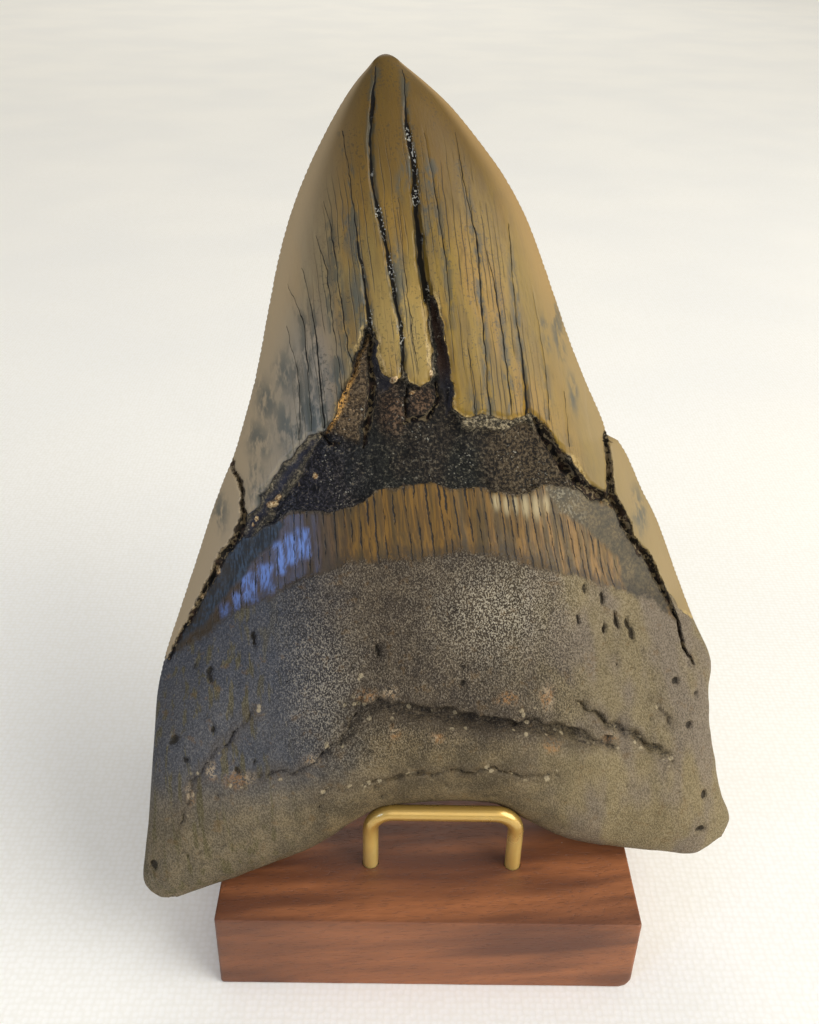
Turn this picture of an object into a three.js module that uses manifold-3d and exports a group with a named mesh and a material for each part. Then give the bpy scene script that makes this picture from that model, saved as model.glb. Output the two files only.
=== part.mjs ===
// Fossil megalodon tooth standing on a walnut block, held by two bent brass wires.
// Millimetres, +Z up. The origin is the middle of the block's underside. The root's
// bulging inner face, with the dark band between crown and root, looks towards -Y.

import * as THREE from 'three';
import { mergeVertices } from 'three/addons/utils/BufferGeometryUtils.js';
import Module from 'manifold-3d';

const wasm = await Module();
wasm.setup();

// Walnut block
const BLOCK_WIDTH = 82.5;
const BLOCK_DEPTH = 63.5;
const BLOCK_HEIGHT = 19;
const BLOCK_BEVEL = 0.5;

// Brass wire of both supports, and the blind holes that it is pushed into
const WIRE_DIAMETER = 3.175;
const WIRE_SIDES = 10;
const HOLE_GAP = 0.3;
const HOLE_DEPTH = 11;
const HOLE_SIDES = 16;
const LEG_SPACING = 28.9;
const SUPPORT_X = 2.85;
const BEND_RADIUS = 4.5;
const STAPLE_Y = -BLOCK_DEPTH / 2 + 14.6;
const STAPLE_RISE = 14.4;
const STAPLE_STEPS = 36;
const LOOP_Y = 23.35;
const LOOP_RISE = 53;
const LOOP_STEPS = 50;

// How the tooth stands: leaning back on the rear loop, turned and rolled a little
const LEAN_BACK = THREE.MathUtils.degToRad(26);
const ROLL_LEFT = THREE.MathUtils.degToRad(4.5);
const TURN = THREE.MathUtils.degToRad(6);
const TOOTH_PLACE = new THREE.Vector3(1.27, -5.95, 29.62);

// Outline of the tooth, seen from the front: across, then up from the notch in the root
const LEFT_EDGE = [
  [-58.6, -11.2], [-59.8, -8.4], [-58.7, -2.6], [-57.3, 3.4], [-55.7, 12.0], [-54.3, 20.0],
  [-53.0, 27.5], [-50.9, 34.2], [-47.2, 42.5], [-41.7, 54.3], [-37.9, 62.6], [-34.6, 69.0],
  [-32.8, 72.2], [-29.8, 79.1], [-26.8, 86.7], [-22.0, 101.8], [-19.4, 109.8], [-16.6, 116.8],
  [-12.8, 124.4], [-8.5, 131.4], [-4.0, 137.8], [-0.6, 141.8], [2.6, 144.8],
];
const RIGHT_EDGE = [
  [58.2, -17.4], [60.1, -13.0], [58.9, -8.5], [57.9, -1.9], [57.4, 6.7], [57.9, 13.8],
  [59.4, 20.0], [57.4, 28.3], [54.8, 39.6], [52.3, 49.2], [49.7, 55.8], [45.4, 66.8],
  [43.2, 68.4], [42.5, 71.3], [39.6, 79.8], [37.1, 88.2], [33.0, 104.5], [30.7, 112.6],
  [27.2, 120.9], [22.6, 128.6], [17.3, 136.1], [13.2, 140.5], [8.6, 144.8],
];
const BOTTOM_EDGE = [
  [-58.6, -11.2], [-56.4, -12.6], [-54.0, -12.9], [-50.5, -12.2], [-39.7, -9.9], [-24.8, -5.5],
  [-16.4, -1.2], [-11.0, 0.5], [0.2, -0.1], [9.9, -1.8], [16.0, -6.0], [23.7, -11.3],
  [30.7, -14.4], [44.5, -18.2], [51.5, -19.8], [58.2, -17.4],
];
const TIP_LEVEL = 144.8;
const TIP_DOME = 1.8;

// Thickness along the middle of the crown, in front of and behind the cutting edges
const CROWN_FRONT = [
  [20, 13.4], [45, 13.6], [62, 13.2], [80, 11.8], [100, 9.8], [120, 7.2],
  [135, 4.6], [142, 2.6], [146.8, 0.4],
];
const CROWN_BACK = [
  [20, 5.0], [60, 4.8], [100, 3.8], [125, 2.6], [140, 1.4], [146.8, 0.3],
];

// Root: where its rim lies, how far its faces stand off it, how round its sides and foot are
const ROOT_RIM_FORWARD = 8;
const LOBE_RIM_BACK = 1.6;
const LOBE_SPAN = [14, 40];
const RIM_BLEND = [5, 45];
const ROOT_FRONT = 7;
const ROOT_BULGE = 4;
const ROOT_BULGE_WIDTH = 27;
const ROOT_BACK = 13;
const ROOT_BACK_HOLLOW = 1;
const ROOT_BACK_HOLLOW_WIDTH = 18;
const ROOT_SIDE_ROUND = 14;
const ROOT_FOOT_ROUND = 17;
const ROOT_BACK_FOOT_ROUND = 15;

// Low swellings of the root's skin: broad ones and slanting ones, turned round for the back
const BROAD_LUMPS = { height: 0.35, across: 6.1, up: 5.3, shift: 7.9 };
const SLANTING_LUMPS = { height: 0.25, across: 3.7, up: 6.9 };
const BACK_LUMPS = { share: 0.6, shift: 20 };

// Where root turns into crown on each face, and how full the crown's section is
const FRONT_BLEND = [26, 48];
const FRONT_BLEND_LIFT = 12;
const FRONT_FULLNESS = 2.3;
const BACK_BLEND = [8, 46];
const BACK_FULLNESS = 3;

// Grid of the tooth's surface, both even. Its rows start arched like the root's underside.
const COLUMNS = 34;
const ROWS = 42;
const EVEN_COLUMNS = 0.6;
const EVEN_ROWS = 0.75;
const ROW_GROWTH = 1.6;
const ARCH_FADE = [-17, 110];
const DOME_START = 120;

// Where the enamel has broken away above the band, and the top edge of the band
const ENAMEL_BREAK = [
  [-32.0, 59.2], [-27.4, 64.7], [-23.3, 69.3], [-18.1, 74.8], [-14.0, 75.9], [-10.5, 81.0],
  [-7.2, 88.6], [-3.9, 94.1], [-3.2, 89.1], [-2.0, 84.5], [-0.3, 83.3], [1.5, 85.0],
  [2.4, 82.1], [6.1, 82.6], [7.7, 87.0], [10.6, 87.0], [10.8, 76.3], [17.4, 75.0],
  [21.6, 74.0], [25.7, 74.7], [28.1, 71.3], [32.9, 65.1], [39.7, 56.6],
];
const BAND_TOP = [
  [36.7, 57.4], [31.0, 59.2], [25.9, 60.3], [18.4, 59.5], [8.2, 62.3], [-1.6, 63.6],
  [-6.2, 63.1], [-10.5, 60.5], [-15.8, 60.1], [-22.7, 61.2], [-29.5, 57.0],
];
const BREAK_DEPTH = 1.5;

// Lower edge of the band, where the grainy root begins
const BAND_LOW = [
  [-43.2, 37.2], [-36.7, 41.9], [-28.7, 44.6], [-20.8, 48.1], [-13.0, 49.9], [2.8, 49.3],
  [9.4, 49.8], [17.1, 47.3], [24.8, 44.2], [32.8, 40.8], [44.0, 35.8],
];
const BAND_STEP = 0.6;

// Cracks down the enamel: the route of each, how wide and how deep it is
const CRACKS = [
  { width: 0.9, depth: 1.3, route: [[3.4, 143.0], [0.3, 126.6], [0.7, 112.4], [1.6, 98.8], [1.6, 86.0]] },
  { width: 1.3, depth: 1.6, route: [[8.6, 141.5], [7.9, 128.0], [7.7, 118.3], [7.5, 105.5]] },
  { width: 2.3, depth: 2.4, route: [[7.5, 107.0], [8.2, 98.2], [9.0, 91.0], [9.2, 86.0]] },
  { width: 0.8, depth: 1.0, route: [[-4.5, 132.2], [-4.2, 111.1], [-3.8, 93.4]] },
  { width: 0.8, depth: 1.0, route: [[-9.6, 119.2], [-8.6, 105.0], [-8.5, 87.5]] },
  { width: 0.7, depth: 0.9, route: [[-11.7, 112.7], [-10.7, 98.6], [-10.3, 82.0]] },
  { width: 0.8, depth: 1.0, route: [[-15.1, 107.0], [-14.0, 94.7], [-14.5, 76.6]] },
  { width: 0.8, depth: 1.0, route: [[-18.1, 104.3], [-16.2, 94.9], [-16.8, 76.0]] },
  { width: 0.8, depth: 1.0, route: [[11.1, 129.7], [11.7, 111.0], [11.6, 91.8]] },
  { width: 0.8, depth: 1.0, route: [[17.3, 130.2], [18.5, 106.6], [17.5, 75.8]] },
  { width: 0.7, depth: 0.9, route: [[20.6, 106.6], [21.5, 91.0], [21.7, 75.0]] },
  { width: 0.8, depth: 1.0, route: [[26.2, 111.8], [25.2, 93.0], [25.0, 75.4]] },
];

// Wide breaks that part a strip of each cutting edge from the crown
const SIDE_BREAKS = [
  { width: 1.7, depth: 2.6, route: [[-35, 75], [-32.2, 67.5], [-32, 60.2], [-39, 49.8], [-50.4, 34]] },
  { width: 2.2, depth: 3.0, route: [[43.4, 71], [41.8, 64], [41, 56.8], [46.5, 45], [54.8, 22.6]] },
];

// Creases and pits of the root
const ROOT_FURROWS = [
  { width: 2.6, depth: 1.2, route: [[-39.0, 10.6], [-26.5, 12.2], [-18.5, 16.2], [-14.0, 21.8]] },
  { width: 3.8, depth: 2.2, route: [[-16.2, 22.4], [-10.1, 22.7], [-0.8, 20.3], [18.2, 15.8], [26, 11.7]] },
  { width: 3.2, depth: 1.8, route: [[24.0, 13.0], [33.9, 8.4], [44.8, 3.2]] },
  { width: 2.4, depth: 1.6, route: [[30.0, 16.7], [36.4, 10.9], [47.2, 3.9]] },
  { width: 1.4, depth: 0.8, route: [[-21.3, 7.8], [-4.1, 8.9], [7.4, 8.2], [23.2, 4.3]] },
];
const ROOT_PITS = [
  { centre: [-9.2, 32.7], size: [1.1, 3.0] }, { centre: [-32.7, 36.9], size: [1.2, 2.8] },
  { centre: [-41.6, 30.9], size: [1.2, 2.4] }, { centre: [-50.0, 20.4], size: [1.4, 1.8] },
  { centre: [33.8, 36.6], size: [0.9, 2.6] }, { centre: [36.2, 33.2], size: [1.0, 2.6] },
  { centre: [38.4, 30.9], size: [0.9, 2.2] }, { centre: [40.8, 28.6], size: [0.9, 2.2] },
];
const PIT_DEPTH = 1.8;
const PIT_SIDES = 7;
const PIT_RINGS = 4;

// Cutters: how far they stand clear of the surface, a groove's step along its route, how
// much of it is left at its ends, and how deep the prisms reach
const CUTTER_CLEAR = 1.2;
const GROOVE_STEP = 8;
const GROOVE_END_SHARE = 0.35;
const PRISM_DEPTH = 40;
const MERGE_DISTANCE = 1e-4;

const { clamp, lerp, smoothstep } = THREE.MathUtils;

// Curve through points whose first value rises, with no overshoot between them
function smoothCurve(points) {
  const slopes = points.slice(1).map((p, i) => (p[1] - points[i][1]) / (p[0] - points[i][0]));
  const tangents = points.map((p, i) => {
    if (i === 0) return slopes[0];
    if (i === points.length - 1) return slopes[i - 1];
    const before = slopes[i - 1];
    const after = slopes[i];
    return before * after <= 0 ? 0 : (2 * before * after) / (before + after);
  });
  return (value) => {
    const last = points.length - 2;
    let i = 0;
    while (i < last && value > points[i + 1][0]) i += 1;
    const span = points[i + 1][0] - points[i][0];
    const t = clamp((value - points[i][0]) / span, 0, 1);
    const ease = 3 * t ** 2 - 2 * t ** 3;
    const slope = tangents[i] * (t ** 3 - 2 * t ** 2 + t) + tangents[i + 1] * (t ** 3 - t ** 2);
    return lerp(points[i][1], points[i + 1][1], ease) + slope * span;
  };
}

const flip = (points) => points.map(([across, up]) => [up, across]);
const leftAt = smoothCurve(flip(LEFT_EDGE));
const rightAt = smoothCurve(flip(RIGHT_EDGE));
const bottomAt = smoothCurve(BOTTOM_EDGE);
const crownFrontAt = smoothCurve(CROWN_FRONT);
const crownBackAt = smoothCurve(CROWN_BACK);

// Quarter-round profile: 0 on the rim, 1 at the given distance from it
function quarterRound(distance, radius) {
  const rest = 1 - clamp(distance / radius, 0, 1);
  return Math.sqrt(1 - rest * rest);
}

// The rim, where the faces meet, lies in the middle of the root and further back up the crown
function rimDepth(x, up) {
  const forward = ROOT_RIM_FORWARD - LOBE_RIM_BACK * smoothstep(Math.abs(x), ...LOBE_SPAN);
  return -forward * (1 - smoothstep(up, ...RIM_BLEND));
}

function lumps(x, up) {
  const { height, across, shift } = BROAD_LUMPS;
  const broad = height * Math.sin((x + shift) / across) * Math.cos(up / BROAD_LUMPS.up);
  const slant = Math.sin(x / SLANTING_LUMPS.across - up / SLANTING_LUMPS.up);
  return broad + SLANTING_LUMPS.height * slant;
}

// Where a point lies: 0 to 1 from the middle to the side, and its distances from side and foot
function place(x, up) {
  const left = leftAt(up);
  const right = rightAt(up);
  const side = clamp((2 * x - left - right) / (right - left), -1, 1);
  return {
    side: Math.abs(side),
    toSide: Math.max(0, Math.min(x - left, right - x)),
    toFoot: Math.max(0, up - bottomAt(x)),
  };
}

// Distance of the front face from the rim: a lens in the crown, a thick pad in the root
function frontStand(x, up) {
  const { side, toSide, toFoot } = place(x, up);
  const crown = crownFrontAt(up) * (1 - side ** FRONT_FULLNESS);
  const bulge = ROOT_BULGE * Math.exp(-((x / ROOT_BULGE_WIDTH) ** 2));
  const pad = ROOT_FRONT + bulge + lumps(x, up);
  const root = pad * quarterRound(toSide, ROOT_SIDE_ROUND) * quarterRound(toFoot, ROOT_FOOT_ROUND);
  const share = smoothstep(up + FRONT_BLEND_LIFT * side ** 2, ...FRONT_BLEND);
  return crown * share + root * (1 - share);
}

// The same for the flatter back face
function backStand(x, up) {
  const { side, toSide, toFoot } = place(x, up);
  const crown = crownBackAt(up) * (1 - side ** BACK_FULLNESS);
  const hollow = ROOT_BACK_HOLLOW * Math.exp(-((x / ROOT_BACK_HOLLOW_WIDTH) ** 2));
  const pad = ROOT_BACK - hollow + BACK_LUMPS.share * lumps(x + BACK_LUMPS.shift, up);
  const root = pad * quarterRound(toSide, ROOT_SIDE_ROUND) * quarterRound(toFoot, ROOT_BACK_FOOT_ROUND);
  const share = smoothstep(up, ...BACK_BLEND);
  return crown * share + root * (1 - share);
}

const frontFace = (x, up) => rimDepth(x, up) - frontStand(x, up);

// One point of the tooth's grid, u from the left edge to the right and v from foot to tip
function gridPoint(u, v) {
  const across = lerp(Math.sin(Math.PI * (u - 0.5)), 2 * u - 1, EVEN_COLUMNS);
  const along = (across + 1) / 2;
  const climb = lerp(v ** ROW_GROWTH, v, EVEN_ROWS);
  const footLeft = BOTTOM_EDGE[0];
  const footRight = BOTTOM_EDGE[BOTTOM_EDGE.length - 1];
  const levelLeft = lerp(footLeft[1], TIP_LEVEL, climb);
  const levelRight = lerp(footRight[1], TIP_LEVEL, climb);
  const level = lerp(levelLeft, levelRight, along);
  const x = lerp(leftAt(levelLeft), rightAt(levelRight), along);
  // rows follow the arch of the root's underside and flatten on their way up
  const footUp = bottomAt(lerp(footLeft[0], footRight[0], along));
  const arch = footUp - lerp(footLeft[1], footRight[1], along);
  const flatten = 1 - smoothstep(level, ...ARCH_FADE);
  const dome = TIP_DOME * (1 - across ** 2) * smoothstep(level, DOME_START, TIP_LEVEL);
  return { x, up: level + arch * flatten + dome };
}

function meshOf(positions, faces) {
  const geometry = new THREE.BufferGeometry();
  geometry.setAttribute('position', new THREE.Float32BufferAttribute(positions, 3));
  geometry.setIndex(faces);
  return geometry;
}

// Closed skin of the tooth. The front may be set back, which gives the inner layer
// below the enamel. The back has half as many cells and shares the rim's points.
function toothSkin(setBack) {
  const positions = [];
  const faces = [];
  const numbers = new Map();
  const onRim = (i, j) => i === 0 || j === 0 || i === COLUMNS || j === ROWS;
  const point = (i, j, isBack) => {
    const key = `${i},${j},${isBack && !onRim(i, j)}`;
    if (!numbers.has(key)) {
      const { x, up } = gridPoint(i / COLUMNS, j / ROWS);
      const forward = frontStand(x, up);
      let depth = rimDepth(x, up);
      if (!onRim(i, j)) depth += isBack ? backStand(x, up) : Math.min(setBack, forward / 2) - forward;
      numbers.set(key, positions.length / 3);
      positions.push(x, depth, up);
    }
    return numbers.get(key);
  };
  // a cell is a fan of triangles round its first corner
  const addCell = (corners) => {
    for (let k = 1; k < corners.length - 1; k += 1) faces.push(corners[0], corners[k], corners[k + 1]);
  };
  for (let j = 0; j < ROWS; j += 1) {
    for (let i = 0; i < COLUMNS; i += 1) {
      const cell = [[i, j], [i + 1, j], [i + 1, j + 1], [i, j + 1]];
      addCell(cell.map(([a, b]) => point(a, b, false)));
    }
  }
  const walkRound = [[0, 0], [0, 1], [0, 2], [1, 2], [2, 2], [2, 1], [2, 0], [1, 0]];
  for (let j = 0; j < ROWS; j += 2) {
    for (let i = 0; i < COLUMNS; i += 2) {
      // the middle of a side is kept only where it lies on the rim
      const cell = walkRound.map(([a, b]) => [i + a, j + b])
        .filter(([a, b]) => (a % 2 === 0 && b % 2 === 0) || onRim(a, b));
      const inner = cell.findIndex(([a, b]) => !onRim(a, b));
      addCell([...cell.slice(inner), ...cell.slice(0, inner)].map(([a, b]) => point(a, b, true)));
    }
  }
  return meshOf(positions, faces);
}

function toSolid(geometry) {
  const bare = geometry.clone();
  bare.deleteAttribute('normal');
  bare.deleteAttribute('uv');
  const merged = mergeVertices(bare, MERGE_DISTANCE);
  return new wasm.Manifold(new wasm.Mesh({
    numProp: 3,
    vertProperties: new Float32Array(merged.attributes.position.array),
    triVerts: new Uint32Array(merged.index.array),
  }));
}

function toGeometry(solid) {
  const mesh = solid.getMesh();
  return meshOf(mesh.vertProperties, Array.from(mesh.triVerts));
}

// Prism over an outline of the front face, reaching from well in front to the rim
function frontPrism(outline) {
  const shape = new THREE.Shape(outline.map(([x, up]) => new THREE.Vector2(x, up)));
  const geometry = new THREE.ExtrudeGeometry(shape, { depth: PRISM_DEPTH, bevelEnabled: false });
  // the shape lies in X and Y, so it is stood up and its depth runs towards the front
  geometry.rotateX(Math.PI / 2);
  return toSolid(geometry);
}

// V-shaped cutter along a route on the front face, narrow and shallow at both ends
function grooveCutter({ route, width, depth }) {
  const stops = route.map(([x, up]) => new THREE.Vector3(x, 0, up));
  const path = new THREE.CatmullRomCurve3(stops, false, 'centripetal');
  const steps = Math.max(4, Math.round(path.getLength() / GROOVE_STEP));
  const positions = [];
  const faces = [];
  for (let k = 0; k <= steps; k += 1) {
    const centre = path.getPointAt(k / steps);
    const along = path.getTangentAt(k / steps);
    const middle = Math.sqrt(Math.sin((Math.PI * (k + 0.5)) / (steps + 1)));
    const taper = lerp(GROOVE_END_SHARE, 1, middle);
    const half = (width / 2) * taper * (1 + CUTTER_CLEAR / depth);
    const surface = frontFace(centre.x, centre.z);
    const sideX = along.z * half;
    const sideUp = along.x * half;
    const mouth = surface - CUTTER_CLEAR;
    positions.push(centre.x - sideX, mouth, centre.z + sideUp);
    positions.push(centre.x + sideX, mouth, centre.z - sideUp);
    positions.push(centre.x, surface + depth * taper, centre.z);
  }
  for (let k = 0; k < steps; k += 1) {
    for (let side = 0; side < 3; side += 1) {
      const a = 3 * k + side;
      const b = 3 * k + ((side + 1) % 3);
      faces.push(a, b, b + 3, a, b + 3, a + 3);
    }
  }
  const end = 3 * steps;
  faces.push(0, 2, 1, end, end + 1, end + 2);
  return toSolid(meshOf(positions, faces));
}

function pitCutter({ centre: [x, up], size: [across, high] }) {
  const geometry = new THREE.SphereGeometry(1, PIT_SIDES, PIT_RINGS);
  geometry.scale(across, PIT_DEPTH, high / 2);
  geometry.translate(x, frontFace(x, up), up);
  return toSolid(geometry);
}

function toothGeometry() {
  const underEnamel = toSolid(toothSkin(BREAK_DEPTH));
  const underBand = toSolid(toothSkin(BAND_STEP));
  const brokenAway = frontPrism([...ENAMEL_BREAK, ...BAND_TOP]).subtract(underEnamel);
  const sunkenBand = frontPrism([...BAND_LOW, ...BAND_TOP]).subtract(underBand);
  let tooth = toSolid(toothSkin(0)).subtract(brokenAway).subtract(sunkenBand);
  [...CRACKS, ...SIDE_BREAKS, ...ROOT_FURROWS].forEach((groove) => {
    tooth = tooth.subtract(grooveCutter(groove));
  });
  ROOT_PITS.forEach((pit) => {
    tooth = tooth.subtract(pitCutter(pit));
  });
  return toGeometry(tooth);
}

// Block with small bevels along its edges and four blind holes for the wires
function blockGeometry() {
  const halfWidth = BLOCK_WIDTH / 2 - BLOCK_BEVEL;
  const halfDepth = BLOCK_DEPTH / 2 - BLOCK_BEVEL;
  const plan = new THREE.Shape();
  plan.moveTo(-halfWidth, -halfDepth);
  plan.lineTo(halfWidth, -halfDepth);
  plan.lineTo(halfWidth, halfDepth);
  plan.lineTo(-halfWidth, halfDepth);
  plan.closePath();
  const board = new THREE.ExtrudeGeometry(plan, {
    depth: BLOCK_HEIGHT - 2 * BLOCK_BEVEL,
    bevelThickness: BLOCK_BEVEL,
    bevelSize: BLOCK_BEVEL,
    bevelSegments: 1,
  });
  board.translate(0, 0, BLOCK_BEVEL);
  let block = toSolid(board);
  const radius = WIRE_DIAMETER / 2 + HOLE_GAP;
  for (const y of [STAPLE_Y, LOOP_Y]) {
    for (const side of [-1, 1]) {
      const hole = new THREE.CylinderGeometry(radius, radius, 2 * HOLE_DEPTH, HOLE_SIDES);
      hole.rotateX(Math.PI / 2);
      hole.translate(SUPPORT_X + (side * LEG_SPACING) / 2, y, BLOCK_HEIGHT);
      block = block.subtract(toSolid(hole));
    }
  }
  return toGeometry(block);
}

// Quarter bend of the wire in the XZ plane, turning clockwise from the given angle
class Bend extends THREE.Curve {
  constructor(centreX, centreZ, from) {
    super();
    Object.assign(this, { centreX, centreZ, from });
  }

  getPoint(t) {
    const angle = this.from - (t * Math.PI) / 2;
    const x = this.centreX + BEND_RADIUS * Math.cos(angle);
    return new THREE.Vector3(x, 0, this.centreZ + BEND_RADIUS * Math.sin(angle));
  }
}

// Wire bent into an upside-down U, its legs ending just above the holes' floors
function bentWire(rise, steps) {
  const half = LEG_SPACING / 2;
  const foot = HOLE_GAP - HOLE_DEPTH;
  const low = rise - BEND_RADIUS;
  const inner = half - BEND_RADIUS;
  const at = (x, z) => new THREE.Vector3(x, 0, z);
  const line = (x0, z0, x1, z1) => new THREE.LineCurve3(at(x0, z0), at(x1, z1));
  const route = new THREE.CurvePath();
  route.add(line(-half, foot, -half, low));
  route.add(new Bend(-inner, low, Math.PI));
  route.add(line(-inner, rise, inner, rise));
  route.add(new Bend(inner, low, Math.PI / 2));
  route.add(line(half, low, half, foot));
  const corners = Array.from({ length: WIRE_SIDES }, (_, k) => {
    const angle = (2 * Math.PI * k) / WIRE_SIDES;
    return new THREE.Vector2(Math.cos(angle), Math.sin(angle)).multiplyScalar(WIRE_DIAMETER / 2);
  });
  return new THREE.ExtrudeGeometry(new THREE.Shape(corners), { steps, extrudePath: route });
}

const fossil = new THREE.MeshStandardMaterial({ color: 0x6f5a38, roughness: 0.55, metalness: 0 });
const walnut = new THREE.MeshStandardMaterial({ color: 0x6e4430, roughness: 0.5, metalness: 0 });
const brass = new THREE.MeshStandardMaterial({ color: 0xd2a94f, roughness: 0.3, metalness: 1 });

function namedMesh(name, geometry, material) {
  const mesh = new THREE.Mesh(geometry, material);
  mesh.name = name;
  return mesh;
}

const tooth = namedMesh('tooth', toothGeometry(), fossil);
tooth.position.copy(TOOTH_PLACE);
tooth.rotation.set(-LEAN_BACK, -ROLL_LEFT, TURN, 'ZXY');

const block = namedMesh('base_block', blockGeometry(), walnut);

const staple = namedMesh('front_staple', bentWire(STAPLE_RISE, STAPLE_STEPS), brass);
staple.position.set(SUPPORT_X, STAPLE_Y, BLOCK_HEIGHT);

const loop = namedMesh('rear_loop', bentWire(LOOP_RISE, LOOP_STEPS), brass);
loop.position.set(SUPPORT_X, LOOP_Y, BLOCK_HEIGHT);

const stand = new THREE.Group();
stand.add(block, staple, loop);

const part = new THREE.Group();
part.add(stand, tooth);

export default part;
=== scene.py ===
# Fossil megalodon tooth on a walnut block, held up by two bent brass wires. Metres, +Z up,
# the root's bulging inner face towards -Y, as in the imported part.

import math

import bmesh
import bpy
import numpy as np
from mathutils import Matrix, Vector


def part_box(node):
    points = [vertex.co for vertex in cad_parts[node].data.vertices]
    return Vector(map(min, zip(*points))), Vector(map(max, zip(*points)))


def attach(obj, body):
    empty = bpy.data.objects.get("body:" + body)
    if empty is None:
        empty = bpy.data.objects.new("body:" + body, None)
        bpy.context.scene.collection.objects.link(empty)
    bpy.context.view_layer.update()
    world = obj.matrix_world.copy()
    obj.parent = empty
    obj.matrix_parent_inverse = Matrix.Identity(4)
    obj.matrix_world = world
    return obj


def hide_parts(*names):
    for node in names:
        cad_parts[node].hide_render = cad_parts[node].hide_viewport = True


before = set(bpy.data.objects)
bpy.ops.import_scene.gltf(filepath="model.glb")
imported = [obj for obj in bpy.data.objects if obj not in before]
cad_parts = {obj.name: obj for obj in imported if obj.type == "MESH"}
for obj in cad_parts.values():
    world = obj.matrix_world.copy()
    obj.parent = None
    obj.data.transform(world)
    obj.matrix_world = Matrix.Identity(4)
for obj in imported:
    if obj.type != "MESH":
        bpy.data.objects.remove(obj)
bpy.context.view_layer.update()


# Walnut block
# A piece of 19 mm walnut board, sawn to size, sanded and oiled. Its edges are only just
# broken, and its lower front corner is chipped. Four drilled holes take the brass wires.

MM = 0.001
BODY = "root"

BLOCK_EDGE_ROUND = 0.45 * MM
BLOCK_CORNER_ROUND = 0.8 * MM
BLOCK_STEP = 1.6 * MM
ROUND_STEPS = 4
CHIP_REACH = 1.9 * MM
CHIP_DEPTH = 0.75 * MM
CHIP_WAY = Vector((-1, 0.7, 0.7)).normalized()
SAW_WAVER = 0.05 * MM
SAW_WAVER_LENGTH = 6 * MM

WIRE_DIAMETER = 3.175 * MM
LEG_SPACING = 28.9 * MM
HOLE_DIAMETER = WIRE_DIAMETER + 0.25 * MM
HOLE_DEPTH = 11 * MM
HOLE_SIDES = 40

block_low, block_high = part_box("base_block")
staple_low, staple_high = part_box("front_staple")
loop_low, loop_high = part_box("rear_loop")


def ease(value, start, end):
    """0 before start, 1 after end, and a smooth rise between them."""
    share = np.clip((value - start) / (end - start), 0, 1)
    return share * share * (3 - 2 * share)


def swell(x, y, size, seed):
    """Smooth random swelling from -1 to 1 with lumps of about that size, the same in every run."""
    count = 256
    heights = np.random.default_rng(seed).uniform(-1, 1, (count, count))
    column, row = np.floor(x / size).astype(int), np.floor(y / size).astype(int)
    across, along = x / size - column, y / size - row
    across, along = across * across * (3 - 2 * across), along * along * (3 - 2 * along)

    def on_row(row):
        left, right = heights[column % count, row % count], heights[(column + 1) % count, row % count]
        return left * (1 - across) + right * across

    return on_row(row) * (1 - along) + on_row(row + 1) * along


def shown_mesh(name, points, faces, finish, replaced, smooth_angle):
    """A piece of the object from points and faces, in place of the plain solid of that name."""
    mesh = bpy.data.meshes.new(name)
    mesh.from_pydata([tuple(p) for p in points], [], faces)
    mesh.validate()
    mesh.shade_smooth()
    mesh.set_sharp_from_angle(angle=math.radians(smooth_angle))
    mesh.materials.append(finish)
    piece = bpy.data.objects.new(name, mesh)
    bpy.context.scene.collection.objects.link(piece)
    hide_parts(replaced)
    return piece


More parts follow.
